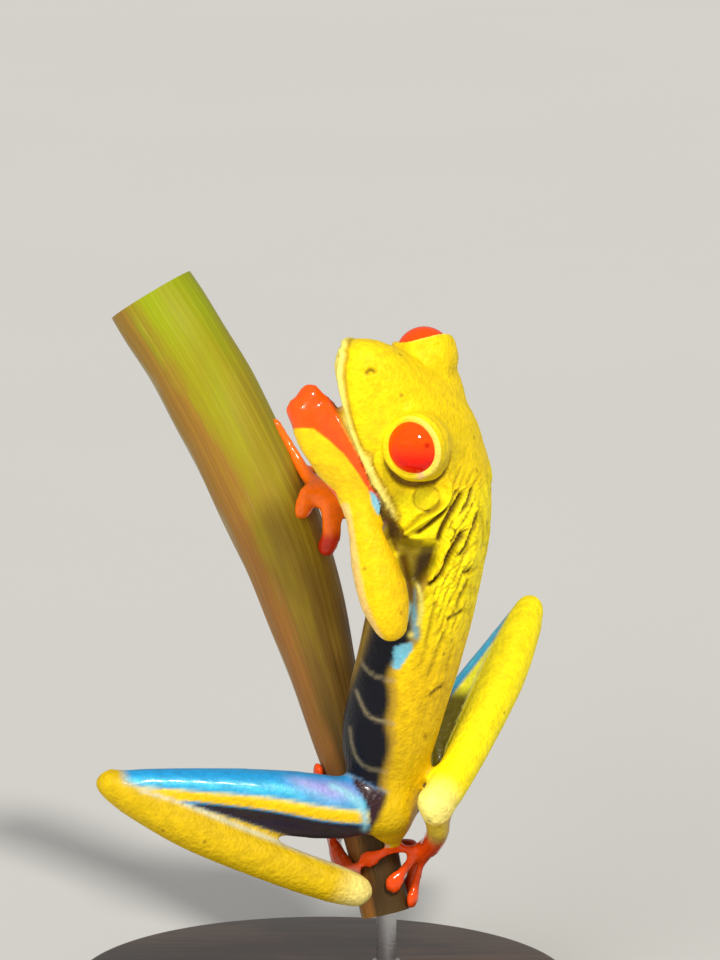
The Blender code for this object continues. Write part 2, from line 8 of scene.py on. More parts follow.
import bpy
import numpy as np
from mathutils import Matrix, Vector


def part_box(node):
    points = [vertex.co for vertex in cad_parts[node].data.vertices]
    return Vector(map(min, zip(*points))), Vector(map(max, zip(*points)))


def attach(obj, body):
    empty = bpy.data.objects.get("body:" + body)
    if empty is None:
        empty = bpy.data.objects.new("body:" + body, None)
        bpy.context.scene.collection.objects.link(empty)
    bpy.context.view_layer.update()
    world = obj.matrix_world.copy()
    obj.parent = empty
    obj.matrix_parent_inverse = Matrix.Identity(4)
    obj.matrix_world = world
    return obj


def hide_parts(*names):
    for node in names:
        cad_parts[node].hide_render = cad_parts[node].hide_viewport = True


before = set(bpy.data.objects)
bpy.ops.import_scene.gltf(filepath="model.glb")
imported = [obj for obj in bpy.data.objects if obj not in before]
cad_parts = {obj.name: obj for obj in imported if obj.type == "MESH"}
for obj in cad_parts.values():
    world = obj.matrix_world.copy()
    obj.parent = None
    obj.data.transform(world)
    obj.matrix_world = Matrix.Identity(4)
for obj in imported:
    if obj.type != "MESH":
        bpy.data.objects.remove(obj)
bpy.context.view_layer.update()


# Camera
# The frog is seen from its left and from behind, from 0.6 m and 12 degrees above level. At the frog,
# 8.5 pixels of the 720 x 960 picture are a millimetre.
PICTURE = (720, 960)
VIEW_TILT = math.radians(12)
LIFT = np.array((0, -9, 10))
PIXELS_PER_MM = 8.5
DISTANCE = 600.0
AIM = np.array((4.47, 0, 56.47))
SENSOR_MM = 36.0


def placed(points):
    """Picture-frame points as model points: turned by the tilt about X, lifted, and divided by 1000."""
    across, away, up = np.asarray(points, float).reshape(-1, 3).T
    cosine, sine = math.cos(VIEW_TILT), math.sin(VIEW_TILT)
    turned = np.stack([across, away * cosine + up * sine, up * cosine - away * sine], axis=1)
    return (turned + LIFT) / 1000


def hung(data, place):
    """A camera or lamp at a picture-frame place, pointed at the frog."""
    made = bpy.data.objects.new(data.name, data)
    bpy.context.scene.collection.objects.link(made)
    made.location = placed(place)[0]
    made.rotation_mode = "QUATERNION"
    made.rotation_quaternion = (Vector(placed(AIM)[0]) - made.location).to_track_quat("-Z", "Y")
    return made


lens = bpy.data.cameras.new("camera")
lens.sensor_fit = "VERTICAL"
lens.sensor_height = SENSOR_MM
lens.lens = SENSOR_MM * DISTANCE * PIXELS_PER_MM / PICTURE[1]
lens.clip_start = 0.01
bpy.context.scene.camera = hung(lens, AIM - (0, DISTANCE, 0))


# Floor and light
# A plain pale floor, so wide that it fills the picture, under a soft sun high behind the camera, as it
# stands in the photograph, and a broader fill light low at the left.
FLOOR_HALF_SIZE = 6.0
SUN_WAY, SUN_STRENGTH, SUN_WIDTH = (0.22, -0.77, 0.58), 2.55, math.radians(8)
SUN_COLOUR = (1, 0.96, 0.88)
FILL_PLACE, FILL_STRENGTH, FILL_WIDTH = (-300, -480, 40), 2.2, math.radians(48)
SKY_COLOUR, SKY_STRENGTH = (1, 0.98, 0.94, 1), 0.35
MAIN_OUTPUT = {
    "Attribute": "Color", "Bump": "Normal", "MapRange": "Result", "Mapping": "Vector", "Math": "Value",
    "Mix": "Result", "SeparateXYZ": "X", "TexCoord": "Object", "TexNoise": "Fac", "TexVoronoi": "Distance",
    "VectorMath": "Vector",
}


def set_inputs(tree, node, inputs):
    """Sets each named input of a node to a value, or links it to a socket. A colour needs no alpha."""
    for key, value in inputs.items():
        if isinstance(value, bpy.types.NodeSocket):
            tree.links.new(value, node.inputs[key])
        elif node.inputs[key].type == "RGBA":
            node.inputs[key].default_value = (*value[:3], 1)
        else:
            node.inputs[key].default_value = value


def add_node(tree, kind, inputs=None, output=None, **settings):
    """A shader node with its settings and inputs. It gives that output, or else its main one."""
    made = tree.nodes.new("ShaderNode" + kind)
    for key, value in settings.items():
        setattr(made, key, value)
    set_inputs(tree, made, inputs or {})
    return made.outputs[output or MAIN_OUTPUT[kind]]


def noise(tree, vector, scale, detail, roughness=0.5, distortion=0):
    """Cloudy noise at a place, from 0 to 1."""
    return add_node(tree, "TexNoise", {"Vector": vector, "Scale": scale, "Detail": detail, "Roughness": roughness,
                                       "Distortion": distortion})


def mixed(tree, share, under, over):
    """The second colour over the first by that share."""
    return add_node(tree, "Mix", {"Factor": share, "A": under, "B": over}, data_type="RGBA")


def new_material(name):
    """A new material and the tree of its nodes."""
    made = bpy.data.materials.new(name)
    made.use_nodes = True
    return made, made.node_tree


def finish(tree, inputs):
    """Sets the inputs of the surface itself."""
    set_inputs(tree, tree.nodes["Principled BSDF"], inputs)


def mesh_piece(name, points, faces, material=None):
    """A smooth piece of the model from its points in metres and its faces."""
    mesh = bpy.data.meshes.new(name)
    mesh.from_pydata(np.asarray(points).tolist(), [], [list(map(int, f)) for f in faces])
    mesh.validate()
    mesh.shade_smooth()
    if material:
        mesh.materials.append(material)
    piece = bpy.data.objects.new(name, mesh)
    bpy.context.scene.collection.objects.link(piece)
    return piece


paper, tree = new_material("pale_floor")
cloudy = noise(tree, add_node(tree, "TexCoord"), 6, 4)
finish(tree, {"Base Color": mixed(tree, cloudy, (0.57, 0.57, 0.56), (0.6, 0.6, 0.59)), "Roughness": 1,
              "Specular IOR Level": 0.0})
corners = np.array(((-1, -1, 0), (1, -1, 0), (1, 1, 0), (-1, 1, 0))) * FLOOR_HALF_SIZE
floor = mesh_piece("floor", corners, [(0, 1, 2, 3)], paper)
sun = bpy.data.lights.new("soft_sun", "SUN")
sun.energy, sun.angle, sun.color = SUN_STRENGTH, SUN_WIDTH, SUN_COLOUR
hung(sun, AIM + np.array(SUN_WAY) * DISTANCE)
fill = bpy.data.lights.new("broad_fill", "SUN")
fill.energy, fill.angle = FILL_STRENGTH, FILL_WIDTH
hung(fill, AIM + FILL_PLACE).visible_glossy = False
world = bpy.data.worlds.new("studio")
world.use_nodes = True
set_inputs(world.node_tree, world.node_tree.nodes["Background"], {"Color": SKY_COLOUR, "Strength": SKY_STRENGTH})
bpy.context.scene.world = world
bpy.context.scene.view_settings.view_transform = "Standard"


# Base
# An oval of dark hardwood, 64 x 56 mm, turned with a cove above a square foot and sanded to satin. The
# rod goes through a small hole in its top.
BASE_LOW, BASE_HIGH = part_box("stand_base")
BASE_PROFILE = [
    # inset from the rim and height above the floor, in mm
    (0.6, 0), (0.15, 0.12), (0, 0.5), (0, 1.7), (0.12, 1.95), (0.5, 2.05), (0.9, 2.15), (1.15, 2.5),
    (1.3, 3.1), (1.45, 3.7), (1.75, 4.15), (2.15, 4.3), (2.35, 4.45), (2.45, 4.7), (2.75, 4.92), (3.2, 5),
]
BASE_TOP = [(12, 5), (24, 5)]


def smooth_rows(rows, steps):
    """Rows of numbers along a Catmull-Rom curve: each stretch is the cubic through its two rows whose
    slope at each is half the step between that row's neighbours."""
    rows = np.asarray(rows, float)
    ends = np.vstack([2 * rows[0] - rows[1], rows, 2 * rows[-1] - rows[-2]])
    a, b, c, d = (ends[i:len(ends) - 3 + i, None] for i in range(4))
    t = (np.arange(steps) / steps)[None, :, None]
    curve = 0.5 * (2 * b + (c - a) * t + (2 * a - 5 * b + 4 * c - d) * t ** 2 + (3 * b - a - 3 * c + d) * t ** 3)
    return np.vstack([curve.reshape(-1, rows.shape[1]), rows[-1]])


def circle(count):
    """The angles of so many even places round a circle."""
    return np.linspace(0, 2 * np.pi, count, endpoint=False)


def closed_grid(rings):
    """Points and faces of a grid of rings, each ring joined to the next and both ends closed to a pole."""
    count, sides = rings.shape[:2]
    here = np.arange(count * sides).reshape(count, sides)
    beside = np.roll(here, -1, axis=1)
    quads = np.stack([here[:-1], beside[:-1], beside[1:], here[1:]], axis=-1).reshape(-1, 4)
    first, last = count * sides, count * sides + 1
    start = np.stack([np.full(sides, first), beside[0], here[0]], axis=1)
    end = np.stack([np.full(sides, last), here[-1], beside[-1]], axis=1)
    points = np.vstack([rings.reshape(-1, 3), rings[0].mean(0), rings[-1].mean(0)])
    return points, quads.tolist() + start.tolist() + end.tolist()


def ramp(tree, value, stops):
    """A colour for each value, blended between stops of (value, colour)."""
    made = tree.nodes.new("ShaderNodeValToRGB")
    tree.links.new(value, made.inputs["Fac"])
    elements = made.color_ramp.elements
    for element, (place, colour) in zip(elements, (stops[0], stops[-1])):
        element.position, element.color = place, (*colour, 1)
    for place, colour in stops[1:-1]:
        elements.new(place).color = (*colour, 1)
    return made.outputs["Color"]


def bump(tree, height, strength, distance, under=None, invert=False):
    """A surface raised by that distance in metres where the height is 1, on top of another such surface."""
    inputs = {"Height": height, "Strength": strength, "Distance": distance}
    if under:
        inputs["Normal"] = under
    return add_node(tree, "Bump", inputs, invert=invert)


turns = circle(160)
profile = np.vstack([smooth_rows(BASE_PROFILE, 3), BASE_TOP]) / 1000
half = np.array(((BASE_HIGH.x - BASE_LOW.x) / 2, (BASE_HIGH.y - BASE_LOW.y) / 2))
rings = np.stack([(half[0] - profile[:, :1]) * np.cos(turns), (half[1] - profile[:, :1]) * np.sin(turns),
                  np.repeat(profile[:, 1:], len(turns), axis=1)], axis=-1)
hardwood, tree = new_material("dark_hardwood")
stretched = add_node(tree, "Mapping", {"Vector": add_node(tree, "TexCoord"), "Location": (0.013, 0.02, 0.04),
                                       "Rotation": (0.06, 0.1, 0.12), "Scale": (60, 620, 620)})
grain = noise(tree, stretched, 1, 6, 0.62, 0.6)
finish(tree, {"Base Color": ramp(tree, grain, [(0.32, (0.012, 0.006, 0.004)), (0.72, (0.085, 0.04, 0.02))]),
              "Normal": bump(tree, grain, 0.25, 0.0002), "Roughness": 0.35, "Coat Weight": 0.25,
              "Coat Roughness": 0.2})
base = mesh_piece("base", *closed_grid(rings), hardwood)
base.data.set_sharp_from_angle(angle=math.radians(50))
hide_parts("stand_base")
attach(base, "root")


# Rod
# A steel rod of 2.4 mm, pushed up into the stalk and down into the base through a turned collar. It was
# brushed while it turned in the lathe, so the fine lines run round it.
ROD_LOW, ROD_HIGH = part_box("stand_rod")
ROD_MIDDLE = np.array(((ROD_LOW.x + ROD_HIGH.x) / 2, (ROD_LOW.y + ROD_HIGH.y) / 2, 0))
COLLAR = [
    # radius and height above the floor, in mm
    (1.22, 4.9), (2.5, 4.9), (2.62, 5.05), (2.62, 5.9), (2.5, 6.1), (2.1, 6.3), (1.9, 6.6), (1.84, 7.4), (1.72, 7.6),
    (1.22, 7.65),
]


def turned(profile, middle):
    """A lathe shape: a profile of (radius, height) in mm carried round an upright axis, and closed."""
    turns = circle(72)
    radius, height = np.array(profile).T[:, :, None] / 1000
    rings = np.stack([radius * np.cos(turns), radius * np.sin(turns), height + 0 * turns], axis=-1)
    return closed_grid(rings + middle)


def spread(tree, value, low, high, to_low, to_high, ease="LINEAR"):
    """The range from low to high carried onto another, and held at its ends."""
    return add_node(tree, "MapRange", {"Value": value, "From Min": low, "From Max": high, "To Min": to_low,
                                       "To Max": to_high}, interpolation_type=ease)


steel, tree = new_material("brushed_steel")
rounds = add_node(tree, "Mapping", {"Vector": add_node(tree, "TexCoord"), "Scale": (300, 300, 9000)})
lines = noise(tree, rounds, 1, 3)
finish(tree, {"Base Color": (0.58, 0.58, 0.6), "Metallic": 1, "Anisotropic": 0.4,
              "Roughness": spread(tree, lines, 0, 1, 0.2, 0.42), "Normal": bump(tree, lines, 0.15, 0.0001)})
low, high, wide = ROD_LOW.z * 1000, ROD_HIGH.z * 1000, (ROD_HIGH.x - ROD_LOW.x) / 2 * 1000
rod_profile = [(wide * 0.7, low), (wide, low + 0.25), (wide, high - 0.3), (wide * 0.7, high)]
rod = mesh_piece("rod", *turned(rod_profile, ROD_MIDDLE), steel)
collar = mesh_piece("collar", *turned(COLLAR, ROD_MIDDLE), steel)
for piece in (rod, collar):
    piece.data.set_sharp_from_angle(angle=math.radians(35))
    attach(piece, "root")
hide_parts("stand_rod")


# Leaf stalk
# A green leaf stalk as thick as a finger, cut square at both ends, where its pith shows. It is faintly
# ribbed by the strands that run along it, green above, brown and pinkish below, pale along its left side, and
# darkened at its lower end by painted shade, the frog's shadow on it.
STALK_LINE = [
    # across, away, up and radius
    (-20.4, 6.5, 78.5, 5.4), (-12.8, 6.5, 65.9, 5.5), (-4.9, 6.5, 49.4, 5.4),
    (0.7, 6.5, 31.8, 3.9), (5, 6.5, 16.5, 3.1), (7.6, 6.5, 5, 2.9),
]
CUT_END = [
    # share of the radius, and how deep the cut is sunk there, in mm
    (0.97, 0), (0.6, 0.1), (0.2, 0.16),
]
OVER_END = 0.1


def unit(vectors):
    """The vectors at length one."""
    vectors = np.asarray(vectors, float)
    return vectors / np.linalg.norm(vectors, axis=-1, keepdims=True)


def tell(piece, name, kind, values):
    """Gives each point of a piece its own value for the shader."""
    field = {"FLOAT": "value", "FLOAT_VECTOR": "vector", "FLOAT_COLOR": "color"}[kind]
    piece.data.attributes.new(name, kind, "POINT").data.foreach_set(field, np.ravel(values))


stalk_rows = smooth_rows(STALK_LINE, 32)
turns = circle(120)
along_stalk = unit(np.gradient(stalk_rows[:, :3], axis=0))
side = unit(np.cross(along_stalk, (0, 1, 0)))
front = np.cross(side, along_stalk)
share = np.linspace(0, 1, len(stalk_rows))[:, None]
ribs = 0.006 * np.sin(turns * 31 + 3 * share) + 0.004 * np.sin(turns * 47 + 9 * share)
swell = 0.012 * np.sin(share * 40 + turns * 2) + 0.010 * np.sin(share * 17 - turns)
radius = stalk_rows[:, 3:] * (1 + ribs + swell)
rings = (stalk_rows[:, None, :3] + (radius * np.cos(turns))[..., None] * side[:, None]
         + (radius * np.sin(turns))[..., None] * front[:, None])
caps = [[stalk_rows[i, :3] + (rings[i] - stalk_rows[i, :3]) * size + along_stalk[i] * sunk * inwards
         for size, sunk in CUT_END] for i, inwards in ((0, 1), (-1, -1))]
points, faces = closed_grid(np.concatenate([caps[0][::-1], rings, caps[1]]))
stalk = mesh_piece("stalk", placed(points), faces)
ends = [size for size, _ in CUT_END]
shares = np.concatenate([[-OVER_END] * len(ends), share[:, 0], [1 + OVER_END] * len(ends)])
widths = np.concatenate([ends[::-1], np.ones(len(stalk_rows)), ends])[:, None]
place = np.stack([np.repeat(shares[:, None], len(turns), 1), widths * np.cos(turns), widths * np.sin(turns)],
                 axis=-1).reshape(-1, 3)
tell(stalk, "stalk_place", "FLOAT_VECTOR", np.vstack([place, (-OVER_END, 0, 0), (1 + OVER_END, 0, 0)]))


def calculated(tree, operation, *values):
    """A sum on numbers, as a node."""
    return add_node(tree, "Math", dict(enumerate(values)), operation=operation)


def shaded(tree, colour, by):
    """A colour made lighter or darker by a number."""
    return add_node(tree, "VectorMath", {0: colour, "Scale": by}, operation="SCALE")


def flecks(tree, vector, scale, low, high, strength):
    """Small round flecks, one to each cell of that scale."""
    cells = add_node(tree, "TexVoronoi", {"Vector": vector, "Scale": scale})
    return spread(tree, cells, low, high, strength, 0)


def stalk_tint(under, colour, strength, side, wander):
    """Mixes a colour over the stalk where it faces one side, as told by the first two numbers of `side`,
    with an edge that wanders with the noise."""
    lean = add_node(tree, "VectorMath", {0: where, 1: (0, side[0], side[1])}, "Value", operation="DOT_PRODUCT")
    edge = calculated(tree, "MULTIPLY_ADD", patchy, wander, lean)
    return mixed(tree, spread(tree, edge, side[2], side[3], 0, strength, "SMOOTHSTEP"), under, colour)


stalk_skin, tree = new_material("stalk_skin")
where = add_node(tree, "Attribute", output="Vector", attribute_name="stalk_place")
down = add_node(tree, "SeparateXYZ", {"Vector": where})
strands = add_node(tree, "Mapping", {"Vector": where, "Scale": (3, 15, 15)})
fibre = noise(tree, strands, 1, 5, 0.6, 0.4)
patchy = noise(tree, add_node(tree, "Mapping", {"Vector": where, "Scale": (9, 2.4, 2.4)}), 1, 3, 0.45)
# Green at the top to brown lower down. The darkest stop, at the lower end, is painted shade from the frog's shadow.
tint = ramp(tree, calculated(tree, "MULTIPLY_ADD", patchy, 0.45, down), [
    (0.2, (0.3, 0.35, 0.004)), (0.4, (0.32, 0.29, 0.006)), (0.58, (0.3, 0.21, 0.014)), (0.76, (0.2, 0.11, 0.018)),
    (1, (0.07, 0.038, 0.01))])
tint = stalk_tint(tint, (0.33, 0.13, 0.025), 0.75, (-1, -0.35, 0.95, 1.35), 0.8)
tint = stalk_tint(tint, (0.36, 0.37, 0.22), 0.6, (-1, 0.15, 1.12, 1.35), 0.6)
tint = mixed(tree, flecks(tree, strands, 1.3, 0.05, 0.11, 0.5), tint, (0.5, 0.42, 0.16))
tint = shaded(tree, tint, spread(tree, fibre, 0.3, 0.75, 0.86, 1.1))
beyond = calculated(tree, "ABSOLUTE", calculated(tree, "SUBTRACT", down, 0.5))
flat = add_node(tree, "VectorMath", {0: where, 1: (0, 1, 1)}, operation="MULTIPLY")
bundles = add_node(tree, "TexVoronoi", {"Vector": flat, "Scale": 6.5})
pith = ramp(tree, bundles, [(0, (0.2, 0.17, 0.035)), (0.35, (0.46, 0.48, 0.17))])
finish(tree, {"Base Color": mixed(tree, spread(tree, beyond, 0.51, 0.58, 0, 1, "SMOOTHSTEP"), tint, pith),
              "Normal": bump(tree, fibre, 0.35, 0.0003), "Roughness": 0.42, "Specular IOR Level": 0.22})
stalk.data.materials.append(stalk_skin)
stalk.data.set_sharp_from_angle(angle=math.radians(50))
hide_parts("stand_stalk")
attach(stalk, "root")


# Head and trunk, under the skin
# The frog is slim, with a blunt deep head turned to its left, and holds its back hollow. The head is
# flat between the eyes and sharp along the lips. Each eye stands in a mound of its own.
HEAD = np.array((11.6, -16, 65.9))
HEAD_AXES = np.array(((0.12, 0.659, 0.743), (-0.587, -0.557, 0.588), (0.801, -0.506, 0.32)))
HEAD_ROWS = [
    # forward, half width at the crown's edge, at the lips, height of the crown, lips and throat
    (-12, 4.6, 6.4, 0.4, -5, -8), (-9, 5.8, 9, 1.8, -6.9, -9.4), (-5.5, 6.2, 10.1, 2.5, -6.8, -9.7),
    (-1.5, 5.8, 9.7, 2.4, -6, -9), (2.5, 4.8, 8.4, 1.9, -5.2, -7.9), (6, 3.6, 6.4, 1.2, -4.5, -6.9),
    (8.6, 2.6, 4.3, 0.3, -4.2, -6.1), (10.2, 1.6, 2.4, -0.9, -4, -5.3), (10.8, 0.5, 0.8, -2.5, -3.8, -4.4),
]
CROWN_SQUARENESS = 2.5
THROAT_SQUARENESS = 2.1
EYE_PLACES = {-1: np.array((-6.45, -0.9, -0.54)), 1: np.array((6.45, 0.14, -0.5))}
GAZE = unit((0.765, 0.609, 0.209))
EYE_BULGE, EYE_RADIUS, LID_RADIUS = 0.3, 3.3, 4.0
MOUND_PLACE, MOUND_SIZE = (4.4, -2.2, -1.9), (4.3, 6, 4.1)
CROWN_SWELL = 0.8
CAP_TURNS = np.radians((80, 55, 28))
TRUNK_LINE = [
    # across, away, up, half width and half height, from the rump to the neck
    (7.9, 0.9, 16.2, 3, 2.8), (7.8, 0.6, 18.2, 3.9, 3.7), (7.7, 0, 21.8, 4.8, 4.6), (7.8, -1, 25.9, 5.7, 5.4),
    (8.8, -2, 30.6, 6.4, 5.5), (10.4, -3.6, 36.5, 6.9, 5.6), (11.7, -5.2, 42.3, 7.2, 5.8),
    (12.6, -7, 48.2, 7.5, 6.1), (13.3, -8.8, 53.4, 7.6, 6), (13.7, -10.5, 57.2, 7.4, 5.3),
    (13.2, -12, 60, 6.6, 4.4),
]
TRUNK_BACK = ((0.76, -0.6, -0.245), (0.8, -0.56, 0.1))


def in_head(points):
    """Points of (right, forward, up) on the head as picture-frame points."""
    return HEAD + np.atleast_2d(np.asarray(points, float)) @ HEAD_AXES


def limb_frame(stations, back, steps=8):
    """Where a limb runs: its smoothed centres, half sizes, and the unit vectors along, across and up,
    where up leans from `back` at the first end to `back` at the last."""
    rows = smooth_rows(stations, steps)
    share = np.linspace(0, 1, len(rows))[:, None]
    back = np.atleast_2d(np.asarray(back, float))
    facing = back[0] * (1 - share) + back[-1] * share
    along = unit(np.gradient(rows[:, :3], axis=0))
    up = unit(facing - along * (facing * along).sum(1, keepdims=True))
    return rows[:, :3], np.maximum(rows[:, 3:5], 0.15), along, np.cross(along, up), up


def limb(stations, back, sides=40, steps=8):
    """A rounded tube: an ellipse of half width and half height carried along the limb, pushed on and
    shrunk by the sine and cosine of 28, 55 and 80 degrees at each end."""
    centres, sizes, along, across, up = limb_frame(stations, back, steps)
    cap = CAP_TURNS
    pick = np.r_[[0] * 3, np.arange(len(centres)), [len(centres) - 1] * 3]
    push = np.r_[-np.sin(cap), np.zeros(len(centres)), np.sin(cap[::-1])] * sizes.min(1)[pick]
    shrink = np.r_[np.cos(cap), np.ones(len(centres)), np.cos(cap[::-1])][:, None, None]
    turns = circle(sides)[None, :, None]
    middle = centres[pick] + along[pick] * push[:, None]
    rings = (middle[:, None] + shrink * (sizes[pick, :1, None] * np.cos(turns) * across[pick][:, None]
                                         + sizes[pick, 1:, None] * np.sin(turns) * up[pick][:, None]))
    return closed_grid(rings)


def ball(centre, radius, sides=40, stretch=(1, 1, 1), axes=np.eye(3)):
    """A ball of latitude rings, stretched along the rows of `axes`."""
    tilt = np.linspace(0, np.pi, sides // 2 + 1)[1:-1, None]
    turns = circle(sides)[None, :]
    local = np.stack([np.sin(tilt) * np.cos(turns), np.sin(tilt) * np.sin(turns), -np.cos(tilt) + 0 * turns], axis=-1)
    return closed_grid(np.asarray(centre) + (local * radius * np.array(stretch)) @ np.asarray(axes))


def head_shell(sides=96):
    """The skull: rings of two half superellipses that meet at the lips. Above them the width goes from
    the lips' to the crown's as the 0.8th power of the height."""
    forward, crown_width, lip_width, crown, lips, throat = smooth_rows(HEAD_ROWS, 8).T[:, :, None]
    turns = circle(sides)[None, :]
    above = np.sin(turns) > 0
    power = 2 / np.where(above, CROWN_SQUARENESS, THROAT_SQUARENESS)
    wide = np.sign(np.cos(turns)) * np.abs(np.cos(turns)) ** power
    high = np.sign(np.sin(turns)) * np.abs(np.sin(turns)) ** power
    height = lips + np.where(above, crown - lips, lips - throat) * high
    width = np.where(above, lip_width + (crown_width - lip_width) * np.abs(high) ** CROWN_SWELL, lip_width)
    rings = np.stack([wide * width, forward + 0 * wide, height], axis=-1)
    return closed_grid(in_head(rings.reshape(-1, 3)).reshape(rings.shape))


shells = [limb(TRUNK_LINE, TRUNK_BACK, 80), head_shell()]
for mirror in (-1, 1):
    shells.append(ball(in_head(EYE_PLACES[mirror])[0], LID_RADIUS))
    shells.append(ball(in_head(MOUND_PLACE * np.array((mirror, 1, 1)))[0], 1, 40, MOUND_SIZE, HEAD_AXES))


# Arms, under the skin
# The left arm is folded under the chin with its fingers held together. The right arm reaches past the
# chest and holds the stalk with spread fingers, each with a round flat pad at its tip.
SHOULDER_LEFT, ELBOW_LEFT, WRIST_LEFT = (10.2, -9.4, 48.8), (8, -14.8, 39.6), (4.5, -16.2, 52.6)
SHOULDER_RIGHT, ELBOW_RIGHT, WRIST_RIGHT = (15, -4.4, 52.6), (12, 5.6, 43.5), (3.4, 2.6, 54.4)
UPPER_ARM = [(-0.3, 1.5, 1.5), (0.2, 2, 2), (0.6, 1.9, 1.9), (1, 2, 2)]
FOREARM = [(0, 2.2, 2.2), (0.25, 2.8, 2.5), (0.55, 2.7, 2.3), (0.85, 2, 1.8), (1, 1.7, 1.5)]
PALM_LEFT, PALM_RIGHT = np.array((1.5, -17, 58.8)), np.array((0.4, 1.5, 55.2))
HAND_BACK = (-0.45, -0.85, 0.3)
TIPS_LEFT = [(-2.45, -17.8, 64.3), (-1.2, -17.4, 65.8), (0.1, -17, 64.6), (1.9, -16.6, 62.7)]
HAND_EDGE = [
    # across, away, up, half width and half height, from the wrist to the fingers
    (7.3, -15, 52.2, 0.9, 0.9), (6.5, -15.6, 53.3, 1.1, 1), (5.2, -16.4, 54.4, 0.9, 0.9),
    (4.3, -16.2, 57.5, 1.3, 1.1), (3, -15.6, 60.8, 1.2, 1),
]
KNUCKLES = [
    (0.9, -17.9, 64, 1.4, 1.4), (1.9, -18.3, 62.8, 1.55, 1.5), (3, -18.5, 60.4, 1.45, 1.5),
    (4.3, -18.2, 57.6, 1.1, 1.2), (5, -17.5, 55.6, 0.8, 0.9),
]
GRIP_RIGHT = [
    # height and angle on the stalk of the tip and of the middle joint, and radius
    ((56, -38), (54.4, -5), 0.7), ((51.6, 52), (53.4, 46), 1),
]
FINGERS_RIGHT = [
    [(-5.65, 5, 63.4, 0.7, 0.7), (-3.9, 4.7, 60.5, 0.75, 0.75), (-2.24, 4, 57.65, 0.9, 0.9),
     (-0.5, 2, 55.5, 1.2, 1), (0.9, 1, 54, 1.2, 1)],
    [(0.6, 1.2, 54, 1.2, 1), (1.1, 1.8, 51.8, 1.3, 0.9), (1.1, 2.4, 50, 1.3, 0.9), (0.4, 3, 48.2, 1.3, 0.9)],
]


def bone(start, end, profile, bow=(0, 0, 0)):
    """Stations along a bone from (share of its length, half width, half height), standing off the
    straight line by `bow` times the sine of half a turn times the share."""
    share, width, height = np.array(profile).T[:, :, None]
    start, end = np.array(start), np.array(end)
    return np.hstack([start + (end - start) * share + np.array(bow) * np.sin(np.pi * np.clip(share, 0, 1)),
                      width, height])


def on_stalk(height, angle, lift):
    """A point beside the stalk: `angle` 0 is its right edge in the picture, 90 degrees its near side."""
    i = int(np.abs(stalk_rows[:, 2] - height).argmin())
    forward = -along_stalk[i]
    right = unit(np.cross((0, 1, 0), forward))
    near = np.cross(right, forward)
    near = near if near[1] < 0 else -near
    turn = math.radians(angle)
    return stalk_rows[i, :3] + (stalk_rows[i, 3] + lift) * (right * math.cos(turn) + near * math.sin(turn))


def digit(of_hand, path, radius, pad, back):
    """A finger or toe along a path, ending in a flat round pad whose upper side faces `back`."""
    path = smooth_rows(path, 3)
    forward = unit(path[-1] - path[-2])
    facing = unit(np.array(back) - forward * (np.array(back) @ forward))
    finger = np.hstack([path, np.full((len(path), 2), radius)])
    tip = np.hstack([path[-1] + forward * np.array([[-0.3], [0.3]]), np.full((2, 2), pad)])
    digits.setdefault(of_hand, []).extend([(finger, back), (tip, back)])
    disc = ball(path[-1], pad, 28, (1, 1.1, 0.55), (np.cross(forward, facing), forward, facing))
    return [limb(finger, back, 24, 3), disc]


def gripping_digit(of_hand, palm, middle, tip, radius, lift, pad):
    """A finger or toe bent round the stalk. Its middle joint and tip are (height, angle) on the stalk."""
    end = on_stalk(*tip, pad * 0.55 - 0.05)
    return digit(of_hand, [palm, on_stalk(*middle, lift), end], radius, pad, end - on_stalk(*tip, -2))


digits = {}
limbs = {
    "upper_arm_left": (bone(SHOULDER_LEFT, ELBOW_LEFT, UPPER_ARM), (-0.6, -0.8, 0)),
    "forearm_left": (bone(ELBOW_LEFT, WRIST_LEFT, FOREARM), (0.2, -1, 0)),
    "palm_left": ([(*WRIST_LEFT, 1.9, 1.5), (3.5, -16.3, 55.8, 2.5, 1.5), (*PALM_LEFT, 3, 1.8)], (-0.45, -0.85, 0.2)),
    "upper_arm_right": (bone(SHOULDER_RIGHT, ELBOW_RIGHT, UPPER_ARM), (0.8, 0.6, 0)),
    "forearm_right": (bone(ELBOW_RIGHT, WRIST_RIGHT, FOREARM), (0.5, 0.6, 0.6)),
    "palm_right": ([(*WRIST_RIGHT, 1.6, 1.3), (*PALM_RIGHT, 1.9, 1.1)], (0.4, -0.8, 0.4)),
}
shells.append(limb(HAND_EDGE, HAND_BACK))
for i, tip in enumerate(TIPS_LEFT):
    knuckle = PALM_LEFT + np.array((-1.5, -0.3, -0.5)) * (1 - i * 0.62)
    middle = (knuckle + np.array(tip)) / 2 + np.array((-0.4, -0.3, 0))
    shells += digit("fingers_left", [knuckle, middle, tip], 1.3, 1.7, HAND_BACK)
shells.append(limb(KNUCKLES, HAND_BACK))
digits["fingers_left"].append((KNUCKLES, HAND_BACK))
for tip, middle, radius in GRIP_RIGHT:
    shells += gripping_digit("fingers_right", PALM_RIGHT, middle, tip, radius, 2, 1.45)
for finger in FINGERS_RIGHT:
    digits["fingers_right"].append((finger, (0.3, -0.9, 0.3)))
    shells.append(limb(*digits["fingers_right"][-1]))


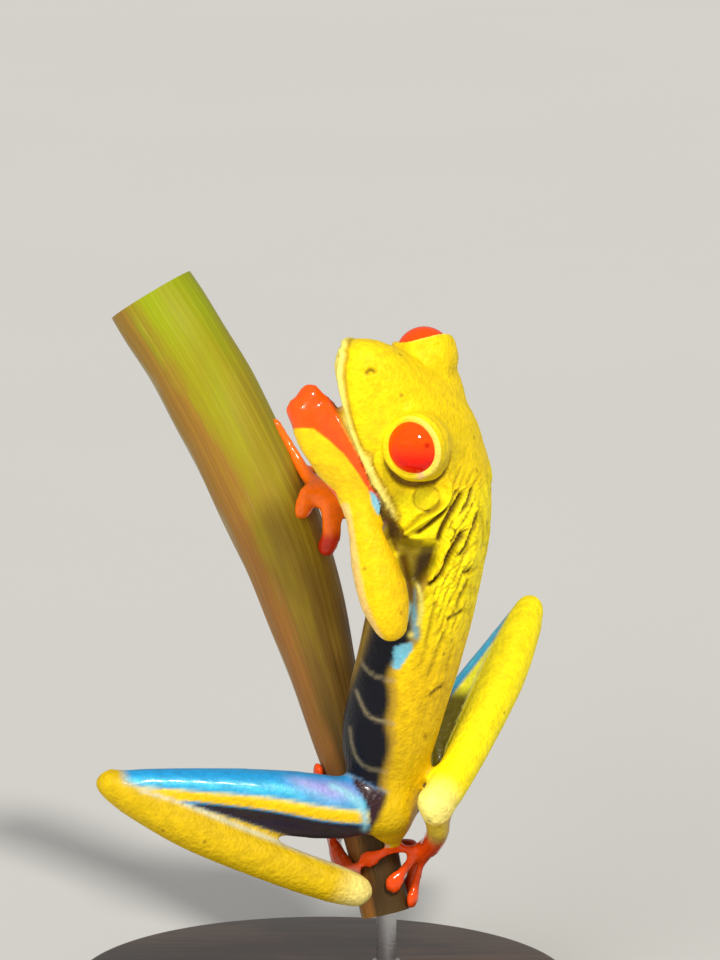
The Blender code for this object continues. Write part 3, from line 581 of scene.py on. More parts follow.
# Legs, under the skin
# Both legs are folded: the left one out to the side, the right one against the flank. The left foot is
# laid up the far side of the stalk and the right foot down its near side.
HIP_LEFT, KNEE_LEFT, HEEL_LEFT = (6.3, -2.2, 17.8), (-24.5, -9, 21.3), (4.2, -1.2, 8.2)
HIP_RIGHT, KNEE_RIGHT, HEEL_RIGHT = (10.3, 3.2, 20.4), (25.1, 19, 41), (13.2, -5.2, 18.2)
THIGH = [(-0.06, 2.9, 3.1), (0.15, 3.2, 3.3), (0.4, 2.9, 3), (0.7, 2.3, 2.3), (0.93, 1.9, 1.8), (1, 1.8, 1.7)]
SHIN = [(0, 1.9, 1.8), (0.1, 2.2, 2), (0.35, 2.5, 2.3), (0.7, 2.2, 2.1), (0.93, 2.1, 2), (1, 2, 1.9)]
ANKLE_LEFT, ANKLE_RIGHT = np.array((1.6, 7.6, 12.2)), np.array((12.4, 5.6, 12.4))
UNDER_THIGH = bone((3, -2, 16.2), (-17, -6, 19.2), [(0, 2, 2.2), (0.4, 2.3, 2.4), (1, 1.4, 1.5)])
HEEL_BALL = ((12.8, -5.2, 18.9), 2.1)
TOES_LEFT = [(8.6, 238), (15.5, 232), (21.8, 206), (22.6, 166), (16.6, 140)]
TOES_RIGHT = [(12, 98), (8.4, 62), (5.9, 20), (7.6, -28), (12, -66)]


def shin(wider, higher):
    """The shin's stations, with its half width and half height that many times as large."""
    return [(share, wide * wider, high * higher) for share, wide, high in SHIN]


limbs |= {
    "thigh_left": (bone(HIP_LEFT, KNEE_LEFT, THIGH, (0, 0, 0.6)), (0.1, -0.4, 1)),
    "shin_left": (bone(KNEE_LEFT, HEEL_LEFT, shin(1.1, 1.18), (-0.3, -0.1, -0.9)), (0.1, -0.6, 1)),
    "tarsus_left": ([(*HEEL_LEFT, 1.8, 1.8), (3.2, 2.4, 9.2, 1.6, 1.5), (*ANKLE_LEFT, 1.5, 1.1)], (-1, 0, 0.6)),
    "thigh_right": (bone(HIP_RIGHT, KNEE_RIGHT, THIGH), (0.8, -0.5, -0.3)),
    "shin_right": (bone(KNEE_RIGHT, HEEL_RIGHT, shin(1.14, 1.14), (0.7, 0, -0.3)), (0.8, -0.5, -0.3)),
    "tarsus_right": ([(*HEEL_RIGHT, 1.8, 1.8), (13.5, -2.6, 15.4, 1.6, 1.5), (*ANKLE_RIGHT, 1.6, 1.1)], (1, 0, 0.2)),
}
shells += [limb(*stations) for stations in limbs.values()]
shells += [limb(UNDER_THIGH, (0.1, -0.4, 1)), ball(*HEEL_BALL)]
for tip in TOES_LEFT:
    shells += gripping_digit("toes_left", ANKLE_LEFT, ((tip[0] + 13.2) / 2, (tip[1] + 192) / 2), tip, 0.7, 1.5, 1.35)
for tip in TOES_RIGHT:
    shells += gripping_digit("toes_right", ANKLE_RIGHT, ((tip[0] + 12.4) / 2, tip[1] / 2), tip, 0.7, 2, 1.35)


# Skin
# One moist, finely granular skin covers the whole frog. The shapes above are grown together on a grid of
# 0.44 mm, eased where limbs join, made twice as fine over the head, the folded back and the near hand,
# and twice as fine again round the near eye and over the deep folds behind it.
SKIN_GRID = 0.44
HEAD_REACH, HEAD_SIZE = (11.5, 13.5, 10.5), (9, 12, 7.5)
HAND_WINDOW, FOLDS_WINDOW = ((280, 376), (384, 530)), ((400, 478), (488, 592))
JOINTS = [
    # place, and reach of the easing in mm
    (SHOULDER_LEFT, 6), (SHOULDER_RIGHT, 6), (HIP_LEFT, 6.5), (HIP_RIGHT, 6.5), ((13.4, -11.4, 58.6), 8),
    (ELBOW_LEFT, 2.6), (ELBOW_RIGHT, 3), (KNEE_LEFT, 3), (KNEE_RIGHT, 3), (HEEL_LEFT, 3), (HEEL_RIGHT, 3),
    (PALM_RIGHT, 2.5), (ANKLE_LEFT, 2.5), (ANKLE_RIGHT, 2.5), (PALM_LEFT, 3),
]


def grown_together(shells, grid):
    """One closed skin round all the shells, as points and four-sided faces on a grid that fine."""
    counts = np.cumsum([0] + [len(points) for points, _ in shells])
    faces = [[v + start for v in face] for start, (_, some) in zip(counts, shells) for face in some]
    item = mesh_piece("growing", np.vstack([points for points, _ in shells]), faces)
    grow = item.modifiers.new("grow", "REMESH")
    grow.mode = "VOXEL"
    grow.voxel_size = grid
    bpy.context.view_layer.update()
    mesh = item.evaluated_get(bpy.context.evaluated_depsgraph_get()).to_mesh()
    points, quads = np.empty(len(mesh.vertices) * 3), np.empty(len(mesh.polygons) * 4, int)
    mesh.vertices.foreach_get("co", points)
    mesh.polygons.foreach_get("vertices", quads)
    bpy.data.objects.remove(item)
    return points.reshape(-1, 3), quads.reshape(-1, 4)


def edges_of(quads):
    """Each edge of the faces once, as a pair of point numbers."""
    pairs = np.concatenate([np.stack([quads[:, i], quads[:, (i + 1) % quads.shape[1]]], axis=1)
                            for i in range(quads.shape[1])])
    pairs = pairs[pairs[:, 0] != pairs[:, 1]]
    return np.unique(np.sort(pairs, axis=1), axis=0)


def eased(points, edges, weight, rounds):
    """The points, each moved `weight` of the way to the mean of its neighbours, so many times."""
    a, b = edges.T
    count = np.maximum(np.bincount(edges.ravel(), minlength=len(points)), 1)[:, None]
    for _ in range(rounds):
        total = np.stack([np.bincount(a, points[b, k], len(points)) + np.bincount(b, points[a, k], len(points))
                          for k in range(3)], axis=1)
        points = points + weight * (total / count - points)
    return points


def normals_of(points, quads):
    """Unit normals of the points: the sum of their faces' diagonals crossed."""
    facing = np.cross(points[quads[:, 2]] - points[quads[:, 0]], points[quads[:, 3]] - points[quads[:, 1]])
    total = np.stack([sum(np.bincount(quads[:, i], facing[:, k], len(points)) for i in range(4))
                      for k in range(3)], axis=1)
    return unit(total + 1e-12)


def step(value, edge, width):
    """0 below the edge and 1 above it, rising over that width as 3t squared less 2t cubed."""
    t = np.clip((value - edge) / width + 0.5, 0, 1)
    return t * t * (3 - 2 * t)


def fall(value, edge, width):
    """1 below the edge and 0 above it."""
    return 1 - step(value, edge, width)


def apart(points, place):
    """How far each point is from a place."""
    return np.linalg.norm(points - np.asarray(place), axis=1)


def finer(points, quads, zone):
    """The same skin with each four-sided face of the zone split in four: a point is set at the middle
    of each face and edge of the zone, and faces next to it become fans round their own middle."""
    split = zone[quads].all(axis=1) & (quads[:, 2] != quads[:, 3])
    pairs = np.sort(np.stack([quads, np.roll(quads, -1, axis=1)], axis=-1), axis=-1).reshape(-1, 2)
    keys = pairs[:, 0].astype(np.int64) * len(points) + pairs[:, 1]
    cut_keys = np.unique(keys.reshape(-1, 4)[split])
    where = np.searchsorted(cut_keys, keys)
    is_cut = (where < len(cut_keys)) & (cut_keys[np.minimum(where, len(cut_keys) - 1)] == keys)
    ends = np.stack([cut_keys // len(points), cut_keys % len(points)], axis=1)
    edge_points = points[ends].mean(axis=1)
    touched = is_cut.reshape(-1, 4).any(axis=1)
    centres = points[quads[touched]].mean(axis=1)
    centre_number = np.full(len(quads), -1)
    centre_number[touched] = len(points) + len(cut_keys) + np.arange(touched.sum())
    middle = np.where(is_cut, len(points) + where, -1).reshape(-1, 4)
    before = np.roll(middle, 1, axis=1)
    new = []
    for i in range(4):
        corner, next_corner, after, prior = quads[:, i], quads[:, (i + 1) % 4], middle[:, i], before[:, i]
        for face, fits in (((prior, corner, after), (after >= 0) & (prior >= 0)),
                           ((corner, next_corner, next_corner), after < 0),
                           ((corner, after, after), (after >= 0) & (prior < 0)),
                           ((prior, corner, corner), (after < 0) & (prior >= 0))):
            new.append(np.stack([centre_number, *face], axis=1)[touched & fits])
    quads = np.vstack([quads[~touched], *new])
    return np.vstack([points, edge_points, centres]), quads[quads[:, 1] != quads[:, 2]]


def seen_at(points):
    """Where the camera sees picture-frame points, in pixels: the lens shrinks them by 600 mm over 600 mm
    and their depth."""
    nearer = DISTANCE / (DISTANCE + points[:, 1])
    return np.stack([360 + (points[:, 0] - AIM[0]) * nearer * PIXELS_PER_MM,
                     480 - (points[:, 2] - AIM[2]) * nearer * PIXELS_PER_MM], axis=1)


def in_window(points, window):
    """Whether the camera sees each point between two corners of the picture."""
    pixels = seen_at(points)
    return ((pixels > window[0]) & (pixels < window[1])).all(axis=1)


def refined(points, quads, zone):
    """The skin made twice as fine in the zone, and eased."""
    points, quads = finer(points, quads, zone)
    return eased(points, edges_of(quads), 0.5, 2), quads


skin_points, skin_faces = grown_together(shells, SKIN_GRID)
skin_edges = edges_of(skin_faces)
skin_points = eased(skin_points, skin_edges, 0.5, 3)
near_joint = np.max([fall(apart(skin_points, place), reach, reach * 0.8) for place, reach in JOINTS], axis=0)
skin_points = eased(skin_points, skin_edges, near_joint[:, None] * 0.5, 30)


def beside(points, stations, back):
    """Where points lie on a limb: share of its stations, angle round it in degrees from its back (left
    side counted below zero), and distance from its line as a share of its half sizes."""
    centres, sizes, along, across, up = limb_frame(stations, back)
    last = len(centres) - 1
    nearest = np.concatenate([((part[:, None] - centres) ** 2).sum(-1).argmin(1)
                              for part in np.array_split(points, len(points) // 4000 + 1)])
    apart = np.linalg.norm(np.gradient(centres, axis=0), axis=1)[nearest]
    place = np.clip(nearest + ((points - centres[nearest]) * along[nearest]).sum(1) / apart, 0, last)
    low = np.minimum(place.astype(int), last - 1)
    part = (place - low)[:, None]
    off = points - (centres[low] * (1 - part) + centres[low + 1] * part)
    across, up = (ways[low] * (1 - part) + ways[low + 1] * part for ways in (across, up))
    size = sizes[low] * (1 - part) + sizes[low + 1] * part
    wide, high = (off * across).sum(1), (off * up).sum(1)
    ratio = np.hypot(wide / size[:, 0], high / size[:, 1])
    reach = np.abs((off * along[low]).sum(1)) / size.mean(1)
    return place / last, np.degrees(np.arctan2(wide, high)), np.hypot(ratio, reach)


share, angle, ratio = beside(skin_points, TRUNK_LINE, TRUNK_BACK)
head_place = (skin_points - HEAD) @ HEAD_AXES.T
on_head = (np.linalg.norm(head_place / HEAD_REACH, axis=1) < 1) & (head_place[:, 1] > -10)
to_camera = normals_of(skin_points, skin_faces)[:, 1] < 0.2
on_back = (ratio < 1.35) & (share > 0.55) & (np.abs(angle) < 85) & (to_camera | (share > 0.82))
on_hand = in_window(skin_points, HAND_WINDOW) & (skin_points[:, 1] < -12) & to_camera
skin_points, skin_faces = refined(skin_points, skin_faces, on_head | on_back | on_hand)
close_up = in_window(skin_points, FOLDS_WINDOW) & (skin_points[:, 1] < -10)
close_up |= apart(skin_points, in_head(EYE_PLACES[-1])) < 5.6
close_up &= normals_of(skin_points, skin_faces)[:, 1] < -0.1
skin_body, skin_faces = refined(skin_points, skin_faces, close_up)


# Parts of the body
# Each place on the skin belongs to the part whose line it is nearest to. What shows on the frog's left
# side is told by its pixels in the view, and the right side is its mirror image.
share, angle, ratio = beside(skin_body, TRUNK_LINE, TRUNK_BACK)
places, ratios = {"trunk": (share, angle)}, {"trunk": ratio}
for name, stations in limbs.items():
    *places[name], ratios[name] = beside(skin_body, *stations)
for name, lines in digits.items():
    ratios[name] = np.min([beside(skin_body, *line)[2] for line in lines], axis=0)
head_place = (skin_body - HEAD) @ HEAD_AXES.T
ratios["head"] = np.linalg.norm(head_place / HEAD_SIZE, axis=1) * 0.9


def part_of(*wanted, soft=0.16):
    """1 where a point is nearest to one of these parts of the body, falling to 0 where another part is
    nearer, over that share of their half sizes."""
    this = np.min([ratios[name] for name in wanted], axis=0)
    others = np.min([ratios[name] for name in ratios if name not in wanted], axis=0)
    return step(others - this, 0, soft)


skin_facing = normals_of(skin_body, skin_faces)
centres, _, _, across, _ = limb_frame(TRUNK_LINE, TRUNK_BACK)
centre, across = (np.stack([np.interp(share * (len(centres) - 1), np.arange(len(centres)), rows[:, k])
                            for k in range(3)], axis=1) for rows in (centres, across))
off_trunk = ((skin_body - centre) * across).sum(1)
towards = step(share, 0.93, 0.14)
to_right = off_trunk * (1 - towards) + head_place[:, 0] * towards
plane = unit(across * (1 - towards[:, None]) + HEAD_AXES[0] * towards[:, None])
far = (to_right > 0)[:, None]
near_body = np.where(far, skin_body - 2 * to_right[:, None] * plane, skin_body)
near_facing = np.where(far, skin_facing - 2 * (skin_facing * plane).sum(1, keepdims=True) * plane, skin_facing)
seen = seen_at(near_body)
shown = part_of("trunk", "head") * step(-near_facing[:, 1], 0.06, 0.3) * np.where(far[:, 0], 0.3, 1)


# Face
# The upper lip is a raised pale roll over the line of the mouth, which runs from behind each eye round the
# snout. The nostrils are small pits with a raised rim, and the eardrum is a flat disc below the eye.
MOUTH_CORNER = -9.4
MOUTH_BELOW = [
    # place along the head from its middle, mm of the mouth's line below the head's widest height
    (-9.4, 1.25), (-4, 0.85), (0, 0.75), (3.5, 1.05), (6.5, 1.5), (9.5, 2),
]
LIP_WIDTH = [
    # place along the head, width of the upper lip in mm
    (-9.4, 1.00), (-4, 1.00), (0.5, 0.8), (3.5, 0.66), (6, 0.75), (10, 0.95),
]
LIP_PROFILE = [
    # mm below the line of the mouth (under zero) or widths of the lip above it, and height of the skin in mm
    (-14, 0), (-11, -0.8), (-6, -1.1), (-3.5, -1.05), (-1.6, -0.95), (-0.7, -0.85), (-0.25, -0.6),
    (0, -0.6), (0.14, -0.12), (0.35, 0.2), (0.7, 0.32), (1, 0.24), (1.2, 0), (1.35, -0.16), (1.6, -0.1),
    (2.1, 0),
]
NOSTRIL_PIXELS, RIM_PIXEL = [(367, 373), (369, 371), (371.5, 370), (374.5, 371.5)], (371.5, 376.5)
EARDRUM_PIXEL, EARDRUM_RADIUS = (427, 499), 1.5


def off_stretch(points, start, end):
    """How far along the straight line from start to end points lie, as a share, and how far off it."""
    way = end - start
    part = np.clip(((points - start) @ way) / (way @ way), 0, 1)
    return part, np.linalg.norm(points - start - part[:, None] * way, axis=1)


def from_path(pixels, on=shown):
    """Distance in mm, across the line of sight, from a smooth line through pixels of the view, and how
    far along it as a share."""
    path = smooth_rows(pixels, 4)
    nearest, share = np.full(len(seen), 99.0), np.zeros(len(seen))
    close = np.flatnonzero(((seen > path.min(0) - 30) & (seen < path.max(0) + 30)).all(1) & (on > 0))
    length = np.r_[0, np.cumsum(np.linalg.norm(np.diff(path, axis=0), axis=1))]
    for i in range(len(path) - 1):
        part, away = off_stretch(seen[close], path[i], path[i + 1])
        away /= PIXELS_PER_MM
        better = away < nearest[close]
        nearest[close] = np.where(better, away, nearest[close])
        share[close] = np.where(better, (length[i] + part * (length[i + 1] - length[i])) / length[-1], share[close])
    return nearest, share


def bell(distance, width):
    """1 at distance 0, falling off smoothly over that width."""
    return np.exp(-(distance / width) ** 2)


def table(value, rows):
    """The second number of a table's rows, read off at a value of the first."""
    return np.interp(value, *np.array(rows).T)


height = np.zeros(len(skin_body))
rows = smooth_rows(HEAD_ROWS, 12)
rows = rows[rows[:, 0] > MOUTH_CORNER - 1]
below = np.minimum(table(rows[:, 0], MOUTH_BELOW), 0.5 * (rows[:, 4] - rows[:, 5]))
narrower = (1 - (below / (rows[:, 4] - rows[:, 5])) ** THROAT_SQUARENESS) ** (1 / THROAT_SQUARENESS)
half_mouth = np.stack([rows[:, 2] * narrower, rows[:, 0], rows[:, 4] - below], axis=1)
mouth_line = np.vstack([half_mouth, (half_mouth * (-1, 1, 1))[::-1]])
close = np.flatnonzero((np.abs(head_place[:, 2] + 6) < 8) & (head_place[:, 1] > MOUTH_CORNER - 2))
nearest = np.concatenate([((part[:, None] - mouth_line) ** 2).sum(-1).argmin(1)
                          for part in np.array_split(head_place[close], 40)])
from_mouth = head_place[close] - mouth_line[nearest]
above_mouth = np.full(len(skin_body), 99.0)
above_mouth[close] = np.linalg.norm(from_mouth, axis=1) * np.clip(from_mouth[:, 2] / 0.35, -1, 1)
above_mouth *= np.where(above_mouth > 0, 1 / table(head_place[:, 1], LIP_WIDTH), 1)
before_corner = step(head_place[:, 1], MOUTH_CORNER + 0.5, 2)
mouth_fade = before_corner * part_of("head", "trunk")
lip_height = table(above_mouth, LIP_PROFILE)
near_head = step(1.45 - ratios["head"], 0, 0.3)
chin = 1 - 0.8 * step(head_place[:, 1], 8, 3)
lip_height *= np.where(above_mouth < 0, chin * part_of("head", "trunk"), near_head)
height += lip_height * before_corner
height -= 0.35 * np.exp(-((head_place[:, 1] - 3.2) / 4.2) ** 2 - (above_mouth / 3) ** 2) * near_head
nostril = bell(from_path(NOSTRIL_PIXELS)[0], 0.24) * shown
rim = apart(seen, RIM_PIXEL) / PIXELS_PER_MM
height += (0.26 * bell(rim, 0.42) + 0.08 * bell(rim - 0.9, 0.5)) * shown - 0.50 * nostril
drum = apart(seen, EARDRUM_PIXEL) / PIXELS_PER_MM / EARDRUM_RADIUS + (1 - shown) * 9
height += 0.10 * bell(drum - 1.22, 0.14) - 0.16 * bell(drum - 1, 0.1) - 0.08 * fall(drum, 0.85, 0.2)


# Folds
# The skin hangs loose behind the head. A thick fold curves from the eye over the eardrum to the armpit,
# a rope-like one runs into the armpit, and between them and over the back the skin is creased.
FOLDS = [
    # height in mm (creases are below zero), half width in mm, how much painted shade darkens it, and its way in
    # pixels
    (0.8, 0.36, 0, [(446, 474), (448, 484), (448, 495), (443, 505), (433, 513), (423, 520), (413, 527),
                       (405, 533), (399, 537)]),
    (-0.4, 0.26, 0.5, [(444, 498), (439, 505), (431, 511), (422, 516), (413, 523), (405, 530), (399, 533)]),
    (0.3, 0.45, 0, [(478, 500), (475, 515), (470, 530), (464, 541), (457, 550), (452, 556)]),
    (0.28, 0.45, 0, [(474, 492), (467, 505), (460, 518), (454, 530), (449, 540)]),
    (0.25, 0.45, 0, [(484, 528), (480, 541), (475, 553), (468, 562), (460, 566)]),
    (0.24, 0.42, 0, [(448, 617), (460, 607), (469, 602), (478, 595)]),
    (0.2, 0.45, 0, [(428, 693), (436, 686), (444, 679), (447, 676)]),
    (-0.5, 0.28, 0.9, [(450, 505), (443, 513), (434, 521), (424, 529), (414, 535)]),
    (-0.8, 0.32, 1, [(464, 490), (460, 499), (455, 508), (449, 518), (444, 527), (440, 537), (439, 546)]),
    (-0.35, 0.22, 0.7, [(474, 486), (470, 496), (466, 505), (461, 512)]),
    (-0.8, 0.34, 1, [(466, 529), (461, 537), (455, 545), (450, 554), (447, 562), (442, 572), (436, 580),
                        (426, 588)]),
    (-0.6, 0.24, 1, [(482, 500), (479, 513), (474, 525), (470, 535), (467, 545), (463, 553), (456, 557)]),
    (-0.4, 0.28, 0.7, [(488, 547), (482, 557), (477, 565), (471, 571), (462, 575)]),
    (-0.25, 0.2, 0.4, [(486, 512), (484, 524), (480, 536), (476, 547)]),
    (-0.22, 0.2, 0.4, [(457, 489), (453, 500), (450, 510)]),
    (-0.2, 0.2, 0.4, [(449, 527), (455, 531), (453, 538), (448, 542)]),
    (-0.26, 0.22, 0.5, [(470, 578), (466, 588), (460, 600), (455, 612)]),
    (-0.3, 0.26, 0.6, [(446, 622), (454, 616), (463, 611), (473, 608)]),
    (-0.18, 0.22, 0.4, [(436, 600), (432, 618), (428, 636), (423, 656), (417, 672)]),
    (-0.18, 0.22, 0.4, [(446, 628), (440, 645), (433, 662), (427, 680)]),
    (-0.16, 0.22, 0.3, [(463, 622), (457, 640), (450, 660), (444, 672)]),
    (-0.28, 0.24, 0.6, [(428, 697), (436, 690), (443, 687), (448, 693), (451, 702)]),
    (-0.24, 0.24, 0.5, [(424, 734), (430, 742), (436, 738), (441, 733)]),
]
ROPE = [(457, 526), (455, 533), (451, 541), (446, 549), (442, 557), (440, 565), (435, 574), (426, 584)]
LOOSE = [(446, 470), (486, 470), (494, 520), (484, 580), (470, 620), (440, 640), (424, 600), (440, 545), (452, 500)]
WARTS = [(411, 635), (461, 637)]
ARMPIT = [(420, 534), (433, 537), (444, 540), (440, 549), (436, 557), (433, 566), (428, 574), (419, 583), (412, 585),
          (408, 568), (402, 553), (398, 541), (409, 539)]


def inside_of(pixels, soft, on=shown):
    """1 inside an outline of pixels and 0 outside it, falling off over that many mm: the sign comes from
    how often a line to the right crosses the outline."""
    outline = np.array(pixels, float)
    nearest, crossed = np.full(len(seen), 99.0), np.zeros(len(seen), bool)
    for (x0, y0), (x1, y1) in zip(outline, np.roll(outline, -1, axis=0)):
        nearest = np.minimum(nearest, off_stretch(seen, np.array((x0, y0)), np.array((x1, y1)))[1])
        between = (seen[:, 1] > min(y0, y1)) & (seen[:, 1] <= max(y0, y1))
        at = x0 + (seen[:, 1] - y0) / ((y1 - y0) or 1) * (x1 - x0)
        crossed ^= between & (seen[:, 0] < at)
    return step(np.where(crossed, nearest, -nearest) / PIXELS_PER_MM, 0, soft) * on


crease_shade = np.zeros(len(skin_body))
inner = step(-near_facing[:, 1], 0.3, 0.4)
for rise, width, dark, pixels in FOLDS:
    away, along_it = from_path(pixels)
    line = bell(away, width) * step(along_it, 0.06, 0.14) * fall(along_it, 0.94, 0.14) * shown
    height += rise * line * inner
    crease_shade = np.maximum(crease_shade, line * dark)
armpit = inside_of(ARMPIT, 1.1) * step(seen[:, 1], 545, 18)
away, along_it = from_path(ROPE)
rope = np.exp(-(away / 0.3) ** 4) * shown * step(along_it, 0.16, 0.3) * fall(along_it, 0.94, 0.12)
height += 0.50 * rope - 1.1 * armpit * (1 - rope)
loose = inside_of(LOOSE, 1.6)
down_across = (seen @ (0.894, 0.447)) / 6.6
down_along = (seen @ (0.447, -0.894)) / 42.0
waver = 0.9 * np.sin(down_along * 2.1 + down_across * 0.23) + 0.5 * np.sin(down_along * 6.3 + 1.0 + down_across)
valley = 1 - np.abs(np.sin(np.pi * down_across + waver))
broken = 0.55 + 0.45 * np.sin(down_along * 9.0 + down_across * 2.7 + 2 * np.sin(down_along * 3.1))
uneven = np.sin(seen[:, 0] * 0.9 + 2 * np.sin(seen[:, 1] * 0.31)) * np.sin(seen[:, 1] * 0.7)
height -= loose * inner * (0.34 * valley ** 1.5 * broken + 0.08 * uneven)
pleat_shade = loose * step(valley, 0.62, 0.5) * np.clip(broken, 0, 1)
for pixel in WARTS:
    height += 0.22 * bell(apart(seen, pixel) / PIXELS_PER_MM, 0.34) * shown
lengthwise = part_of("trunk") * step(share, 0.12, 0.15) * fall(share, 0.62, 0.2)
lengthwise *= step(88 - np.abs(angle), 20, 40)
strand = np.sin(np.radians(angle) * 30 + 2.2 * np.sin(share * 23) + 0.9 * np.sin(share * 61 + angle * 0.05))
height += lengthwise * 0.035 * strand
skin_points = skin_body + skin_facing * height[:, None]


# Eyelids
# The lids are a smooth rolled rim of skin round each eye, pale yellow and thickest below, and meet the
# ball all round. A groove sets them off from the face.
EYE_CENTRES = {mirror: EYE_PLACES[mirror] + GAZE * (mirror, 1, 1) * EYE_BULGE for mirror in (-1, 1)}
OPENING = (math.radians(64.5), math.radians(54.5))
LID_PROFILE = [
    # widths of the roll from the edge of the opening, height over the ball in mm
    (-0.4, 0.02), (0, 0.05), (0.15, 0.28), (0.45, 0.52), (0.8, 0.62), (1.15, 0.6), (1.6, 0.6), (2.2, 0.68),
    (3.2, 0.85),
]
GROOVE_PIXELS = [(382, 450), (384, 459), (388, 469), (395, 478), (404, 484), (414, 486), (425, 485), (436, 482),
                 (445, 474), (450, 464), (452, 453)]


def eye_axes(mirror):
    """The gaze of an eye, and the ways forward and up at right angles to it."""
    gaze = GAZE * (mirror, 1, 1)
    return gaze, unit(np.cross((0, 0, mirror), gaze)), unit(np.array((0, 0, 1)) - gaze * gaze[2])


def round_eye(points, mirror):
    """Places about an eye: slope from its gaze, turn round the gaze from forward up over the eye, and
    distance from its centre."""
    gaze, forward, up = eye_axes(mirror)
    off = (points - HEAD) @ HEAD_AXES.T - EYE_CENTRES[mirror]
    distance = np.linalg.norm(off, axis=1)
    slope = np.arccos(np.clip(off @ gaze / np.maximum(distance, 1e-9), -1, 1))
    return slope, np.arctan2(off @ up, off @ forward), distance


def from_eye(slope, turn, distance, mirror):
    """The points back from slope, turn and distance about an eye."""
    gaze, forward, up = eye_axes(mirror)
    way = (np.cos(slope)[:, None] * gaze + np.sin(slope)[:, None]
           * (np.cos(turn)[:, None] * forward + np.sin(turn)[:, None] * up))
    return in_head(EYE_CENTRES[mirror] + way * distance[:, None])


def opening_slope(turn):
    """The opening's edge: an ellipse round the gaze, wider along the head than high, given as a slope."""
    return 1 / np.sqrt((np.cos(turn) / OPENING[0]) ** 2 + (np.sin(turn) / OPENING[1]) ** 2)


def roll_width(turn):
    """Width of the lid's roll in mm: 0.74 at the lower rear of the eye, falling as a cosine to 0.38 at its
    upper front."""
    return 0.56 + 0.18 * np.cos(turn + math.radians(135))


lid_distance = np.full(len(skin_points), 99.0)
thin_lid = np.zeros(len(skin_points))
away, along_it = from_path(GROOVE_PIXELS)
groove_width = 0.17 + 0.22 * np.sin(np.pi * np.clip(along_it * 1.15, 0, 1)) ** 2
groove = np.exp(-(away / groove_width) ** 4) * np.sin(np.pi * np.clip(along_it, 0.02, 0.98)) ** 0.5 * shown
skin_points = skin_points - skin_facing * (0.55 * groove)[:, None]
for mirror in (-1, 1):
    slope, turn, distance = round_eye(skin_points, mirror)
    arc = (slope - opening_slope(turn)) * (EYE_RADIUS + 0.3)
    close = (arc < 3) & (distance < 6.5)
    widths = arc / roll_width(turn)
    wanted = EYE_RADIUS + table(widths, LID_PROFILE)
    keep = np.maximum(step(arc, 1.15, 0.7), step(distance, 5.6, 0.8))
    moved = np.where(close, wanted * (1 - keep) + distance * keep, distance)
    skin_points = np.where(close[:, None], from_eye(slope, turn, moved, mirror), skin_points)
    lid_distance = np.where(close & (widths < lid_distance), widths, lid_distance)
    thin_lid = np.where(close, np.clip(0.2 + np.cos(turn - math.radians(100)), 0, 1), thin_lid)

# Colours of the skin
# The back, head, forearms and shins are yellow in the sun, the lips and lids paler. The flanks are
# blue-black with thin pale bars, the belly cream, the thighs and upper arms blue, the hands orange-red.
# Painted shade darkens the hollows, creases, grooves and the underside of the left thigh, and painted
# sunlight brightens the upper back, the right shin and the right hand.
LEMON, BRIGHT, SUNNY = (0.88, 0.63, 0.003), (0.98, 0.8, 0.004), (0.88, 0.555, 0.003)
GOLD, AMBER, GREEN_YELLOW = (0.64, 0.41, 0.002), (0.62, 0.41, 0.003), (0.9, 0.86, 0.03)
PALE, CREAM, STRAW = (0.88, 0.76, 0.16), (0.62, 0.43, 0.24), (0.92, 0.78, 0.26)
PINK, ROSY_EDGE_SHEEN, BAR = (0.72, 0.42, 0.22), (0.92, 0.6, 0.2), (0.36, 0.29, 0.16)
OCHRE, OLIVE, DARK_OLIVE = (0.42, 0.25, 0.012), (0.3, 0.22, 0.006), (0.17, 0.125, 0.005)
BROWN, UMBER, GROOVE_SHADE = (0.115, 0.05, 0.003), (0.042, 0.02, 0.001), (0.19, 0.095, 0.004)
NAVY, MAROON, NAVY_VIOLET = (0.004, 0.004, 0.008), (0.03, 0.01, 0.014), (0.018, 0.013, 0.03)
BLUE, SKY, VIOLET, LILAC = (0.012, 0.27, 0.58), (0.07, 0.55, 0.72), (0.34, 0.25, 0.6), (0.66, 0.44, 0.72)
GREY_BLUE, DEEP_TEAL, TEAL = (0.2, 0.42, 0.5), (0.16, 0.46, 0.58), (0.25, 0.55, 0.66)
WRIST_BLUE, MINT = (0.26, 0.58, 0.7), (0.62, 0.74, 0.7)
ORANGE, BRIGHT_ORANGE = (0.88, 0.085, 0.002), (0.96, 0.16, 0.004)
SCARLET, CRIMSON = (0.8, 0.07, 0.003), (0.5, 0.022, 0.004)
MUDDY, MUSTARD = (0.36, 0.2, 0.15), (0.55, 0.38, 0.03)
FLANK_EDGE = [
    # row of the picture, pixel of the flank's edge
    (560, 430), (585, 425), (600, 421), (640, 416), (648, 412), (658, 405), (670, 397), (682, 393), (692, 394),
    (705, 396), (740, 395), (760, 393), (780, 390), (800, 386), (818, 379), (832, 370), (845, 364),
]
BELLY_EDGE = [
    # share of the trunk, degrees from the back
    (0.25, 143), (0.38, 138), (0.5, 126), (0.65, 116),
]
FLANK_BARS = [
    ([(361, 662), (368, 671), (378, 677), (394, 681)], 0.55),
    ([(356, 690), (361, 703), (367, 714), (377, 720), (394, 724)], 0.55),
    ([(350, 728), (352, 745), (358, 760), (368, 768), (386, 772)], 0.4),
]
SHIN_EDGES = [
    [(140, 789), (158, 795), (180, 802), (228, 822), (276, 841), (323, 859), (352, 869)],
    [(503, 632), (494, 648), (478, 676), (463, 704)],
]
HIP = [(352, 745), (353, 784), (362, 796), (369, 812), (369, 840), (430, 850), (430, 745)]
FOREARM_TOP = [(284, 419), (292, 429), (303, 428), (314, 429), (328, 440), (343, 455), (357, 473), (368, 489),
               (380, 512), (388, 530), (346, 530), (336, 492), (322, 480), (305, 464), (292, 450), (280, 434)]
WRIST_PATCH = [(370, 491), (375, 494), (381, 504), (383, 516), (377, 514), (372, 504)]
